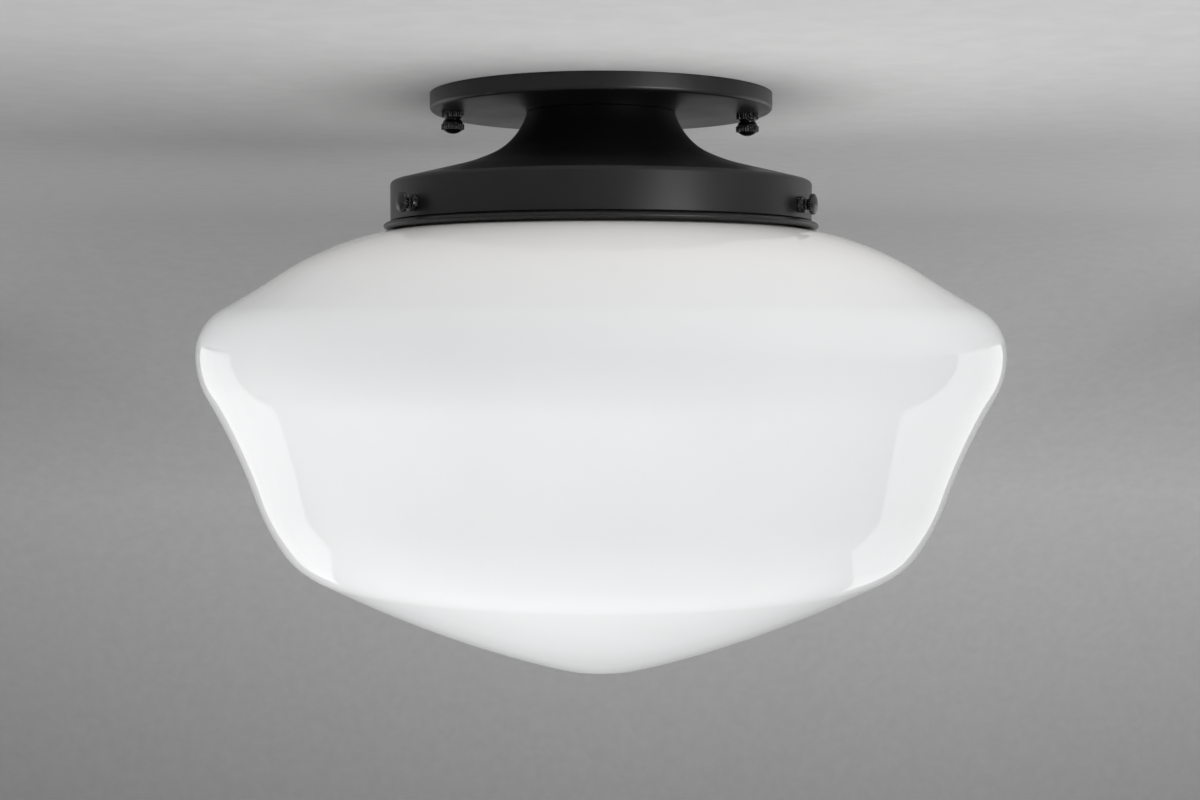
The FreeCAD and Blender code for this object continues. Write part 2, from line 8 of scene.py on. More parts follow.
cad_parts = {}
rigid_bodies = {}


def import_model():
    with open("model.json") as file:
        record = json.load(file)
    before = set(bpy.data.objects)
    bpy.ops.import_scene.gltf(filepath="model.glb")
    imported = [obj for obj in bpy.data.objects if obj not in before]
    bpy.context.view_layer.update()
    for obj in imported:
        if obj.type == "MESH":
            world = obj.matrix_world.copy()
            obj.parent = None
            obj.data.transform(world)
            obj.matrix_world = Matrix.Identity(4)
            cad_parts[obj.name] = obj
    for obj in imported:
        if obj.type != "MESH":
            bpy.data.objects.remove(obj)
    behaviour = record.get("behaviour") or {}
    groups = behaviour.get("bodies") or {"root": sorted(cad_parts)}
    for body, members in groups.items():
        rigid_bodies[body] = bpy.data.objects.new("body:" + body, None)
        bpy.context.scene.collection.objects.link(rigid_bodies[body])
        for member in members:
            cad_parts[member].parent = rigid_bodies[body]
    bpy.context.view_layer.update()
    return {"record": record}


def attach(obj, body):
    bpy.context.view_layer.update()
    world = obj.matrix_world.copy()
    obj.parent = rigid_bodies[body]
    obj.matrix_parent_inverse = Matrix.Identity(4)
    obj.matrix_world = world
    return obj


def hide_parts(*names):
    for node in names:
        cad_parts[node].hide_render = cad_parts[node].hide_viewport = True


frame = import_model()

scene = bpy.context.scene
mm = 0.001


# Camera

view = {
    "azimuth": 4.0,          # degrees to the left of the front, seen from above
    "distance": 0.64045,     # from the light's axis
    "height": -0.08463,
    "pitch": 2.81,           # degrees downwards
    "lens": 50.0, "film": 36.0,
    "axisColumn": 601.0,     # where the light's axis stands in the 1200 pixel wide picture
    "imageWidth": 1200.0,
}


def makeCamera():
    data = bpy.data.cameras.new("viewCamera")
    data.lens = view["lens"]
    data.sensor_width = view["film"]
    camera = bpy.data.objects.new("viewCamera", data)
    scene.collection.objects.link(camera)
    focal = view["lens"] / view["film"] * view["imageWidth"]
    stand = math.radians(view["azimuth"])
    turn = stand - math.atan((view["axisColumn"] - view["imageWidth"] / 2) / focal)
    camera.location = (-view["distance"] * math.sin(stand), -view["distance"] * math.cos(stand),
                       view["height"])
    pitch = math.radians(view["pitch"])
    look = Vector((math.sin(turn) * math.cos(pitch), math.cos(turn) * math.cos(pitch),
                   -math.sin(pitch)))
    camera.rotation_mode = "QUATERNION"
    camera.rotation_quaternion = look.to_track_quat("-Z", "Y")
    scene.camera = camera


makeCamera()
scene.view_settings.view_transform = "Standard"
print("camera ready")


# Shader helpers

def feed(tree, socket, value):
    # a constant is set on the socket itself, and another node's output is linked to it
    if hasattr(value, "is_output"):
        tree.links.new(value, socket)
    else:
        socket.default_value = value


def addNode(tree, kind, **settings):
    node = tree.nodes.new(kind)
    for key, value in settings.items():
        if key in node.inputs:
            feed(tree, node.inputs[key], value)
        else:
            setattr(node, key, value)
    return node


def mathNode(tree, operation, *values):
    node = addNode(tree, "ShaderNodeMath", operation=operation)
    for socket, value in zip(node.inputs, values):
        feed(tree, socket, value)
    return node.outputs[0]


def noiseNode(tree, place, **settings):
    return addNode(tree, "ShaderNodeTexNoise", Vector=place, **settings).outputs["Fac"]


def objectPlace(tree):
    return tree.nodes.new("ShaderNodeTexCoord").outputs["Object"]


def splitPlace(tree, place):
    return addNode(tree, "ShaderNodeSeparateXYZ", Vector=place).outputs


def spreadValue(tree, source, low, high, start=0.3, end=0.7):
    # the source's start to end becomes low to high
    node = tree.nodes.new("ShaderNodeMapRange")
    for key, value in (("Value", source), ("From Min", start), ("From Max", end),
                       ("To Min", low), ("To Max", high)):
        feed(tree, node.inputs[key], value)
    return node.outputs["Result"]


def mixColours(tree, mask, first, second):
    # first where the mask is 0, second where it is 1
    node = addNode(tree, "ShaderNodeMix", data_type="RGBA", Factor=mask)
    feed(tree, node.inputs[6], first)
    feed(tree, node.inputs[7], second)
    return node.outputs[2]


def scaleColour(tree, colour, amount):
    node = addNode(tree, "ShaderNodeVectorMath", operation="SCALE", Scale=amount)
    feed(tree, node.inputs[0], colour)
    return node.outputs[0]


def bumpFrom(tree, shader, height, strength, distance):
    bump = addNode(tree, "ShaderNodeBump", Strength=strength, Distance=distance, Height=height)
    tree.links.new(bump.outputs["Normal"], shader.inputs["Normal"])


def grey(tone):
    return (tone, tone, tone, 1.0)


# Shared effects

def powderGrain(tree, given):
    # fine orange peel of a sprayed coat, with a slow mottle under it
    place = objectPlace(tree)
    return (noiseNode(tree, place, Detail=2.0, Scale=given["Scale"], Roughness=given["Roughness"]),
            noiseNode(tree, place, Detail=4.0, Scale=38.0))


def edgeWear(tree, given):
    # light rub marks on convex edges, broken up by noise
    convex = tree.nodes.new("ShaderNodeNewGeometry").outputs["Pointiness"]
    edge = spreadValue(tree, convex, 0.0, 1.0, given["Start"], given["Full"])
    noise = noiseNode(tree, objectPlace(tree), Detail=5.0, Scale=given["Breakup"])
    return (mathNode(tree, "MULTIPLY", edge, spreadValue(tree, noise, 0.0, 1.0, 0.42, 0.66)),)


def settledDust(tree, given):
    # thin dust on faces that look up
    normal = tree.nodes.new("ShaderNodeNewGeometry").outputs["Normal"]
    upwards = spreadValue(tree, splitPlace(tree, normal)["Z"], 0.0, 1.0, 0.55, 1.0)
    noise = noiseNode(tree, objectPlace(tree), Detail=8.0, Roughness=0.7, Scale=given["Scale"])
    return (mathNode(tree, "MULTIPLY", mathNode(tree, "MULTIPLY", upwards, noise),
                     given["Amount"]),)


def turnedLines(tree, given):
    # fine machining or drawing marks: noise stretched along two axes
    stretched = addNode(tree, "ShaderNodeVectorMath", operation="MULTIPLY")
    feed(tree, stretched.inputs[0], objectPlace(tree))
    feed(tree, stretched.inputs[1], given["Stretch"])
    return (noiseNode(tree, stretched.outputs[0], Scale=1.0, Roughness=0.6, Detail=given["Detail"]),
            noiseNode(tree, stretched.outputs[0], Scale=0.18, Detail=2.0))


def smudges(tree, given):
    # faint hand marks that only show as changes of gloss
    noise = noiseNode(tree, objectPlace(tree), Detail=6.0, Distortion=0.8, Scale=given["Scale"])
    return (spreadValue(tree, noise, given["Low"], given["High"], 0.35, 0.7),)


def makeEffect(name, given, labels, build):
    # a node group: given holds its inputs with their usual values, labels name its outputs
    group = bpy.data.node_groups.new(name, "ShaderNodeTree")
    for label, value in given.items():
        kind = "NodeSocketVector" if isinstance(value, tuple) else "NodeSocketFloat"
        socket = group.interface.new_socket(label, in_out="INPUT", socket_type=kind)
        socket.default_value = value
    for label in labels:
        group.interface.new_socket(label, in_out="OUTPUT", socket_type="NodeSocketFloat")
    source, sink = group.nodes.new("NodeGroupInput"), group.nodes.new("NodeGroupOutput")
    for label, result in zip(labels, build(group, source.outputs)):
        group.links.new(result, sink.inputs[label])
    return group


effects = {
    "grain": makeEffect("powderGrain", {"Scale": 900.0, "Roughness": 0.55},
                        ("Height", "Mottle"), powderGrain),
    "wear": makeEffect("edgeWear", {"Start": 0.53, "Full": 0.62, "Breakup": 260.0},
                       ("Mask",), edgeWear),
    "dust": makeEffect("settledDust", {"Amount": 0.3, "Scale": 60.0}, ("Mask",), settledDust),
    "lines": makeEffect("turnedLines", {"Stretch": (60.0, 60.0, 6000.0), "Detail": 3.0},
                        ("Height", "Streak"), turnedLines),
    "smudges": makeEffect("smudges", {"Scale": 14.0, "Low": 0.05, "High": 0.09},
                          ("Roughness",), smudges),
}
print("shared effects ready")


# Materials: wear is its start, its full mark and its breakup; dust is its amount and its scale;
# bump is its strength and its depth; stretch is the direction of machining marks

families = {
    "coat": {"shader": {}},
    "metal": {"shader": {"Metallic": 1.0}, "grain": 700.0, "spots": (0.42, 0.75),
              "wear": (0.54, 0.70, 500.0), "shine": 1.25, "bump": (0.3, 0.00002)},
    "plastic": {"shader": {"IOR": 1.48}, "dust": (0.2, 70.0), "dusty": (0.45, 0.43, 0.40, 1.0)},
}
looks = {
    "satinBlack": {
        "family": "coat", "base": (0.0028, 0.0028, 0.0030, 1.0),
        "second": (0.0044, 0.0044, 0.0047, 1.0), "spots": (0.3, 0.7),
        "rubbed": (0.030, 0.030, 0.031, 1.0), "wear": (0.56, 0.72, 420.0),
        "dusty": (0.070, 0.068, 0.066, 1.0), "dust": (0.10, 90.0),
        "roughness": (0.34, 0.42), "grain": 1500.0, "bump": (0.5, 0.00004)},
    "blackHardware": {
        "family": "coat", "base": (0.0030, 0.0030, 0.0033, 1.0),
        "rubbed": (0.30, 0.29, 0.28, 1.0), "wear": (0.53, 0.66, 900.0),
        "roughness": (0.13, 0.24), "grain": 2600.0, "bump": (0.25, 0.00002)},
    "zincSteel": {
        "family": "metal", "base": (0.56, 0.56, 0.55, 1.0), "second": (0.38, 0.39, 0.40, 1.0),
        "roughness": (0.22, 0.42), "stretch": (900.0, 60.0, 900.0)},
    "greenScrew": {
        "family": "metal", "base": (0.035, 0.30, 0.075, 1.0), "second": (0.02, 0.16, 0.05, 1.0),
        "roughness": (0.22, 0.38), "stretch": (700.0, 700.0, 700.0)},
    "brassThread": {
        "family": "metal", "base": (0.72, 0.53, 0.24, 1.0), "second": (0.47, 0.32, 0.13, 1.0),
        "roughness": (0.18, 0.36), "stretch": (60.0, 60.0, 5000.0)},
    "nickelShell": {
        "family": "metal", "base": (0.62, 0.59, 0.54, 1.0), "second": (0.44, 0.41, 0.36, 1.0),
        "roughness": (0.12, 0.26), "stretch": (60.0, 60.0, 4200.0)},
    "bulbAluminium": {
        "family": "metal", "base": (0.70, 0.71, 0.72, 1.0), "second": (0.52, 0.53, 0.55, 1.0),
        "roughness": (0.20, 0.34), "stretch": (60.0, 60.0, 3600.0)},
    "porcelain": {
        "family": "plastic", "base": (0.82, 0.80, 0.75, 1.0), "second": (0.74, 0.71, 0.65, 1.0),
        "roughness": (0.07, 0.16), "grain": 500.0, "bump": (0.3, 0.00004)},
    "bulbInsulator": {
        "family": "plastic", "base": (0.022, 0.022, 0.026, 1.0),
        "second": (0.040, 0.038, 0.040, 1.0),
        "roughness": (0.12, 0.25), "grain": 1200.0, "bump": (0.3, 0.00002)},
    "bulbWhite": {
        "family": "plastic", "base": (0.80, 0.80, 0.79, 1.0), "second": (0.76, 0.76, 0.75, 1.0),
        "roughness": (0.32, 0.45), "grain": 2400.0, "bump": (0.3, 0.00002)},
    "bulbDiffuser": {
        "family": "plastic", "base": (0.84, 0.84, 0.82, 1.0), "second": (0.80, 0.80, 0.79, 1.0),
        "roughness": (0.42, 0.56), "grain": 3200.0, "bump": (0.3, 0.00003)},
}


def startMaterial(name, sockets):
    material = bpy.data.materials.new(name)
    material.use_nodes = True
    tree = material.node_tree
    shader = tree.nodes["Principled BSDF"]
    for key, value in sockets.items():
        shader.inputs[key].default_value = value
    return material, tree, shader


def placeEffect(tree, effect, **values):
    node = tree.nodes.new("ShaderNodeGroup")
    node.node_tree = effects[effect]
    for key, value in values.items():
        node.inputs[key].default_value = value
    return node.outputs


def makeSurface(name):
    look = {"spots": (0.3, 0.7), **families[looks[name]["family"]], **looks[name]}
    material, tree, shader = startMaterial(name, look["shader"])
    grain = placeEffect(tree, "grain", Scale=look["grain"], Roughness=0.5)
    gloss, height = grain["Mottle"], grain["Height"]
    colour = look["base"]
    if "second" in look:
        spots = spreadValue(tree, grain["Mottle"], 0.0, 1.0, *look["spots"])
        colour = mixColours(tree, spots, colour, look["second"])
    if "wear" in look:
        start, full, breakup = look["wear"]
        wear = placeEffect(tree, "wear", Start=start, Full=full, Breakup=breakup)
        if "shine" in look:
            rubbed = [min(1.0, look["shine"] * part) for part in look["base"]]
        else:
            rubbed = look["rubbed"]
        colour = mixColours(tree, wear["Mask"], colour, rubbed)
    if "dust" in look:
        amount, scale = look["dust"]
        dust = placeEffect(tree, "dust", Amount=amount, Scale=scale)
        colour = mixColours(tree, dust["Mask"], colour, look["dusty"])
    if "stretch" in look:
        lines = placeEffect(tree, "lines", Stretch=look["stretch"])
        gloss, height = lines["Streak"], lines["Height"]
    feed(tree, shader.inputs["Base Color"], colour)
    feed(tree, shader.inputs["Roughness"], spreadValue(tree, gloss, *look["roughness"]))
    bumpFrom(tree, shader, height, *look["bump"])
    return material


glassLook = {
    "shader": {"IOR": 1.5, "Subsurface Weight": 0.25, "Subsurface Radius": (1.0, 0.95, 0.9),
               "Subsurface Scale": 0.004},
    "paintedWarmNeckTone": (0.870, 0.852, 0.838, 1.0),    # painted warm tint near the neck, standing in for the warm light seen on the glass near the metal
    "bodyTone": (0.855, 0.862, 0.868, 1.0),
    "toneTop": -0.052, "toneEnd": -0.088,
    "cloud": 0.975, "cloudScale": 16.0,
    "smudges": {"Scale": 11.0, "Low": 0.025, "High": 0.06},
    "waveScale": 9.0, "wave": (0.5, 0.0005),
}


def makeOpalGlass():
    look = glassLook
    material, tree, shader = startMaterial("opalGlass", look["shader"])
    place = objectPlace(tree)
    # painted light: the base colour turns from the painted warm neck tint to the body colour by
    # height
    height = spreadValue(tree, splitPlace(tree, place)["Z"], 1.0, 0.0, look["toneEnd"],
                         look["toneTop"])
    colour = mixColours(tree, height, look["paintedWarmNeckTone"], look["bodyTone"])
    cloud = noiseNode(tree, place, Scale=look["cloudScale"], Detail=5.0, Distortion=0.6)
    clouded = scaleColour(tree, colour, spreadValue(tree, cloud, look["cloud"], 1.0))
    feed(tree, shader.inputs["Base Color"], clouded)
    gloss = placeEffect(tree, "smudges", **look["smudges"])["Roughness"]
    feed(tree, shader.inputs["Roughness"], gloss)
    wave = noiseNode(tree, place, Scale=look["waveScale"], Detail=1.0)
    bumpFrom(tree, shader, wave, *look["wave"])
    return material


def slotName(name):
    return "".join("_" + letter.lower() if letter.isupper() else letter for letter in name)


materials = {slotName(name): makeSurface(name) for name in looks}
materials["opal_glass"] = makeOpalGlass()
slotOf = {row["node"]: row["material_slot"] for row in frame["record"]["subparts"]}
bodyOf = {node: body for body, nodes in frame["record"]["behaviour"]["bodies"].items()
          for node in nodes}
print("materials ready:", len(materials))


# Mesh helpers. Outlines are lists of (radius, height) in metres, or (radius, height, tooth depth).

knurl = {"rise": 2.6, "crest": 0.12, "bend": 1.2}    # form of a tooth from its crest to the groove
vee = {"slope": 1.25, "crest": 0.12}                 # form of a sharp thread's flank
past = 0.001                                         # how far a cutting form reaches past a face
weld, sliver = 2e-7, 1e-7                            # what counts as one point, and as no edge


def arcPoints(centre, radius, start, end, count):
    # angles in degrees, 0 outwards and 90 up
    points = []
    for k in range(count + 1):
        a = math.radians(start + (end - start) * k / count)
        points.append((centre[0] + radius * math.cos(a), centre[1] + radius * math.sin(a)))
    return points


def softOutline(corners, count=4):
    # corners are (radius, height, round) and each one with a round becomes a small arc
    points = []
    for k, (r, z, soft) in enumerate(corners):
        here = Vector((r, z))
        back = Vector(corners[k - 1][:2]) - here
        ahead = Vector(corners[(k + 1) % len(corners)][:2]) - here
        reach = min(soft, 0.49 * back.length, 0.49 * ahead.length)
        if reach < 1e-6:
            points.append((r, z))
            continue
        a = here + back.normalized() * reach
        b = here + ahead.normalized() * reach
        for step in range(count + 1):
            t = step / count
            p = a * (1 - t) ** 2 + here * 2 * t * (1 - t) + b * t ** 2
            points.append((p.x, p.y))
    return points


def throughPoints(first, middle, last, count=7):
    # smooth bend from first to last that passes close to the middle point
    guide = [2 * middle[k] - (first[k] + last[k]) / 2 for k in (0, 1)]
    points = []
    for step in range(count + 1):
        t = step / count
        points.append(tuple(first[k] * (1 - t) ** 2 + guide[k] * 2 * t * (1 - t) + last[k] * t ** 2
                            for k in (0, 1)))
    return points


def walkPath(start, slope, steps, inset=0.0, count=14):
    # tangent lines and arcs; a step is a length, or a radius with the slope that its arc ends at
    r, z = start
    t = math.radians(slope)
    r -= inset * math.sin(t)
    z -= inset * math.cos(t)
    points = [(r, z)]
    for step in steps:
        if isinstance(step, tuple):
            end = math.radians(step[1])
            turn = (1 if end > t else -1) * step[0] - inset
            centre = (r - turn * math.sin(t), z - turn * math.cos(t))
            for k in range(1, count + 1):
                a = t + (end - t) * k / count
                points.append((centre[0] + turn * math.sin(a), centre[1] + turn * math.cos(a)))
            t = end
        else:
            points.append((r + step * math.cos(t), z - step * math.sin(t)))
        r, z = points[-1]
    return points


def capArc(radius, rimLevel, topLevel, count=8):
    # shallow dome from its rim to the axis
    rise = topLevel - rimLevel
    ball = (radius ** 2 + rise ** 2) / (2 * rise)
    half = math.asin(radius / abs(ball))
    points = []
    for k in range(count):
        a = half * (1 - k / count)
        points.append((abs(ball) * math.sin(a), topLevel - ball + ball * math.cos(a)))
    return points + [(0.0, topLevel)]


def knurlCut(k, columns, teeth):
    phase = (k * teeth / columns) % 1.0
    return min(1.0, knurl["rise"] * max(0.0, abs(2 * phase - 1) - knurl["crest"]) ** knurl["bend"])


def latheParts(outline, columns, teeth=0, closed=True):
    # vertices and faces of a turned form; the tooth depth cuts grooves along the axis
    verts, faces, rings = [], [], []
    for row in outline:
        if row[0] < 1e-7:
            rings.append([len(verts)] * columns)
            verts.append((0.0, 0.0, row[1]))
            continue
        rings.append(list(range(len(verts), len(verts) + columns)))
        for k in range(columns):
            a = 2 * math.pi * k / columns
            r = row[0] - (row[2] * knurlCut(k, columns, teeth) if len(row) > 2 else 0.0)
            verts.append((r * math.cos(a), r * math.sin(a), row[1]))
    pairs = list(zip(rings, rings[1:]))
    if closed:
        pairs.append((rings[-1], rings[0]))
    for upper, lower in pairs:
        for k in range(columns):
            n = (k + 1) % columns
            face = list(dict.fromkeys((upper[k], upper[n], lower[n], lower[k])))
            if len(face) > 2:
                faces.append(face)
    return verts, faces


def threadParts(crest, depth, pitch, low, high, columns=48, steps=10, rounded=False, lead=None):
    # one helical surface, whose rows follow the thread and end in plain rings at low and high
    verts, faces = [], []
    rows = (math.ceil((high - low) / pitch) + 2) * steps
    for i in range(rows + 1):
        s = (i / steps) % 1.0
        if rounded:
            cut = 0.5 - 0.5 * math.cos(2 * math.pi * s)
        else:
            cut = min(1.0, max(0.0, vee["slope"] * (1 - abs(2 * s - 1)) - vee["crest"]))
        for j in range(columns):
            z = low - pitch + pitch * (i / steps + j / columns)
            z = min(max(z, low), high)
            ease = min(z - low, high - z) / (lead or depth)
            r = min(crest - depth * cut, crest - depth + depth * max(0.0, min(1.0, ease)))
            a = 2 * math.pi * j / columns
            verts.append((r * math.cos(a), r * math.sin(a), z))
    for i in range(rows - steps):
        for j in range(columns):
            here = i * columns + j
            right = here + 1 if j + 1 < columns else (i + steps) * columns
            faces.append([here, right, right + columns, here + columns])
    return verts, faces


def shifted(parts, x=0.0, y=0.0):
    verts, faces = parts
    return [(vx + x, vy + y, vz) for vx, vy, vz in verts], faces


def cylinderParts(radius, low, high, columns=48, x=0.0, y=0.0):
    outline = [(0.0, high), (radius, high), (radius, low), (0.0, low)]
    return shifted(latheParts(outline, columns, closed=False), x, y)


def blockParts(low, high):
    verts = [(x, y, z) for z in (low[2], high[2]) for y in (low[1], high[1])
             for x in (low[0], high[0])]
    faces = [[0, 2, 3, 1], [4, 5, 7, 6], [0, 1, 5, 4], [2, 6, 7, 3], [0, 4, 6, 2], [1, 3, 7, 5]]
    return verts, faces


def stripParts(outer, inner, low, high):
    # bent sheet: two matching paths in the XZ plane, as wide as low to high along Y
    verts, faces = [], []
    for a, b in zip(outer, inner):
        verts += [(a[0], low, a[1]), (a[0], high, a[1]), (b[0], high, b[1]), (b[0], low, b[1])]
    last = 4 * (len(outer) - 1)
    for i in range(0, last, 4):
        for side in range(4):
            n = (side + 1) % 4
            faces.append([i + side, i + n, i + 4 + n, i + 4 + side])
    return verts, faces + [[0, 3, 2, 1], [last, last + 1, last + 2, last + 3]]


def hexagonParts(flats, bore, low, high, bevel, columns=96):
    # a nut turned from bar: chamfer cones cut the corners and leave the curved edges of a real nut
    flat, face, span = flats / 2, flats / 2 * 0.985, 2 * math.pi / 6
    angles = [2 * math.pi * k / columns for k in range(columns)]
    profiles = []
    for a in angles:
        edge = flat / math.cos((a % span) - span / 2)
        drop = max(0.0, edge - face) * math.tan(math.radians(bevel))
        profiles.append(((bore, high), (face, high), (edge, high - drop), (edge, low + drop),
                         (face, low), (bore, low)))
    verts = [(r * math.cos(a), r * math.sin(a), z)
             for ring in zip(*profiles) for a, (r, z) in zip(angles, ring)]
    faces = []
    for row in range(0, len(verts), columns):
        below = (row + columns) % len(verts)
        for k in range(columns):
            n = (k + 1) % columns
            faces.append([row + k, row + n, below + n, below + k])
    return verts, faces


def rodParts(look, low, high, tip=0.0, closeTop=True, columns=40):
    # threaded rod with a plain or pointed lower end
    root = look["crest"] - look["depth"]
    parts = [threadParts(look["crest"], look["depth"], look["pitch"], low + tip, high, columns)]
    parts.append(latheParts([(root, low + tip), (root - tip, low), (0.0, low)], columns,
                            closed=False))
    if closeTop:
        parts.append(latheParts([(0.0, high), (root, high)], columns, closed=False))
    return parts


def joinParts(parts):
    verts, faces = [], []
    for v, f in parts:
        shift = len(verts)
        verts += v
        faces += [[k + shift for k in face] for face in f]
    return verts, faces


def cleanMesh(mesh):
    bm = bmesh.new()
    bm.from_mesh(mesh)
    bmesh.ops.remove_doubles(bm, verts=bm.verts, dist=weld)
    bmesh.ops.dissolve_degenerate(bm, edges=bm.edges, dist=sliver)
    bmesh.ops.holes_fill(bm, edges=[e for e in bm.edges if len(e.link_faces) == 1], sides=4)
    loose = [v for v in bm.verts if not v.link_faces]
    bmesh.ops.delete(bm, geom=loose, context="VERTS")
    bmesh.ops.recalc_face_normals(bm, faces=bm.faces)
    bm.to_mesh(mesh)
    bm.free()


def meshObject(name, parts, place=None):
    mesh = bpy.data.meshes.new(name)
    verts, faces = joinParts(parts)
    mesh.from_pydata(verts, [], faces)
    piece = bpy.data.objects.new(name, mesh)
    scene.collection.objects.link(piece)
    cleanMesh(mesh)
    if place:
        place(mesh)
    return piece


def finishPiece(piece, node, sharp=32.0):
    # the piece stands in place of its node, with its body, slot and material
    mesh = piece.data
    mesh.shade_smooth()
    mesh.set_sharp_from_angle(angle=math.radians(sharp))
    slot = slotOf[node]
    mesh.materials.clear()
    mesh.materials.append(materials[slot])
    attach(piece, bodyOf[node])
    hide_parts(node)


def makePiece(name, parts, node, sharp=32.0, place=None):
    finishPiece(meshObject(name, parts, place), node, sharp)


def applyModifiers(piece):
    bpy.context.view_layer.update()
    graph = bpy.context.evaluated_depsgraph_get()
    shaped = bpy.data.meshes.new_from_object(piece.evaluated_get(graph))
    old = piece.data
    piece.modifiers.clear()
    piece.data = shaped
    bpy.data.meshes.remove(old)


def carve(piece, forms, operation="DIFFERENCE", places=None):
    # apply each form to the piece; in millimetres, where the solver is more exact
    tools = [meshObject("tool", [form], place)
             for form, place in zip(forms, places or [None] * len(forms))]
    piece.data.transform(Matrix.Scale(1 / mm, 4))
    for tool in tools:
        tool.data.transform(Matrix.Scale(1 / mm, 4))
        step = piece.modifiers.new("step", "BOOLEAN")
        step.operation = operation
        step.solver = "EXACT"
        step.object = tool
        applyModifiers(piece)
        bpy.data.objects.remove(tool)
    piece.data.transform(Matrix.Scale(mm, 4))
    cleanMesh(piece.data)


def addParts(piece, parts):
    mesh = piece.data
    old = ([tuple(v.co) for v in mesh.vertices], [list(f.vertices) for f in mesh.polygons])
    verts, faces = joinParts([old] + parts)
    mesh.clear_geometry()
    mesh.from_pydata(verts, [], faces)
    cleanMesh(mesh)


def softenEdges(piece, width, segments=2, angle=40.0):
    bevel = piece.modifiers.new("soften", "BEVEL")
    bevel.width = width
    bevel.segments = segments
    bevel.limit_method = "ANGLE"
    bevel.angle_limit = math.radians(angle)
    bevel.use_clamp_overlap = True
    applyModifiers(piece)
    cleanMesh(piece.data)


# Glass shade

glass = {
    "wall": 0.0030,
    "rimRadius": 0.0746, "rimTop": -0.0353, "rimHeight": 0.0059, "rimRound": 0.0015,
    "rimFall": 0.0003, "heelRound": 0.0006,
    "neckRadius": 0.0710, "neckEnd": -0.0445, "neckFillet": 0.0070,
    "topSlope": 10.7, "topRun": 0.0041,
    "arcs": [(0.1103, 33.8), (0.3130, 29.5), (0.0196, 88.2), (0.0314, 119.6), (0.2210, 108.8),
             (0.0815, 123.5), (0.0272, 151.5), (0.4970, 162.6)],
    "columns": 288, "sharp": 60.0,
}


def makeGlass():
    g = glass
    steps = [(g["neckFillet"], g["topSlope"]), g["topRun"]] + g["arcs"]
    start = (g["neckRadius"], g["neckEnd"])
    domeStart = walkPath(start, 90.0, steps)[-1]
    steps.append((domeStart[0] / math.sin(math.radians(180.0 - g["arcs"][-1][1])), 180.0))
    outer = walkPath(start, 90.0, steps)
    inner = walkPath(start, 90.0, steps, inset=g["wall"])
    outer[-1] = (0.0, outer[-1][1])
    inner[-1] = (0.0, inner[-1][1])
    innerNeck = g["neckRadius"] - g["wall"]
    rimBottom = g["rimTop"] - g["rimHeight"]
    rim = softOutline([
        (innerNeck, g["neckEnd"], 0.0), (innerNeck, g["rimTop"], g["rimRound"]),
        (g["rimRadius"], g["rimTop"], g["rimRound"]), (g["rimRadius"], rimBottom, g["rimRound"]),
        (g["neckRadius"], rimBottom - g["rimFall"], g["heelRound"]),
        (g["neckRadius"], g["neckEnd"], 0.0)])
    outline = outer + inner[::-1] + rim[1:-1]
    makePiece("glassShade", [latheParts(outline, g["columns"])], "glass_globe", g["sharp"])


# Canopy and shade holder

canopy = {
    "radius": 0.0650, "depth": 0.0065, "wall": 0.0012, "corner": 0.0015,
    "screwSpacing": 0.1127, "screwHole": 0.00245, "nipple": 0.0051,
    "columns": 224,
}
screwX = {"left": -canopy["screwSpacing"] / 2, "right": canopy["screwSpacing"] / 2}
holder = {
    "wall": 0.0010, "neckRadius": 0.0284, "topCorner": 0.0008, "neckSlope": 72.5,
    "flare": [(0.0254, 25.0), (0.0830, 14.1)],
    "shoulderCorner": 0.0017, "bandRadius": 0.0800, "bandBottom": -0.0481,
    "lipRadius": 0.0826, "lipTop": -0.0488, "lipBottom": -0.0513, "lipOut": 0.0007,
    "lipTurn": 0.0005, "groove": 0.00045,
    "screwAngles": {"rear": 90.0, "left": 210.0, "right": 330.0},
    "screwLevel": -0.0436, "screwHole": 0.0021, "holeStart": 0.003, "holeEnd": 0.002,
    "boss": 0.0032, "bossReach": 0.0016, "bossSink": 0.0003,
    "columns": 240,
}


def layOutwards(angle, level):
    # turns a form made along +Z so that its height becomes the distance from the light's axis
    def place(mesh):
        a = math.radians(angle)
        out = Vector((math.cos(a), math.sin(a), 0.0))
        side = Vector((-math.sin(a), math.cos(a), 0.0))
        down = Vector((0.0, 0.0, -1.0))
        for v in mesh.vertices:
            x, y, z = v.co
            v.co = down * x + side * y + out * z + Vector((0.0, 0.0, level))
    return place


def makeCanopy():
    c = canopy
    steps = [c["depth"] - c["corner"], (c["corner"], 180.0),
             c["radius"] - c["corner"] - c["nipple"]]
    outer = walkPath((c["radius"], 0.0), 90.0, steps)
    inner = walkPath((c["radius"], 0.0), 90.0, steps, inset=c["wall"])
    piece = meshObject("canopyPan", [latheParts(outer + inner[::-1], c["columns"])])
    carve(piece, [cylinderParts(c["screwHole"], -c["depth"] - 2 * past, -past, 40, x)
                  for x in screwX.values()])
    finishPiece(piece, "canopy")


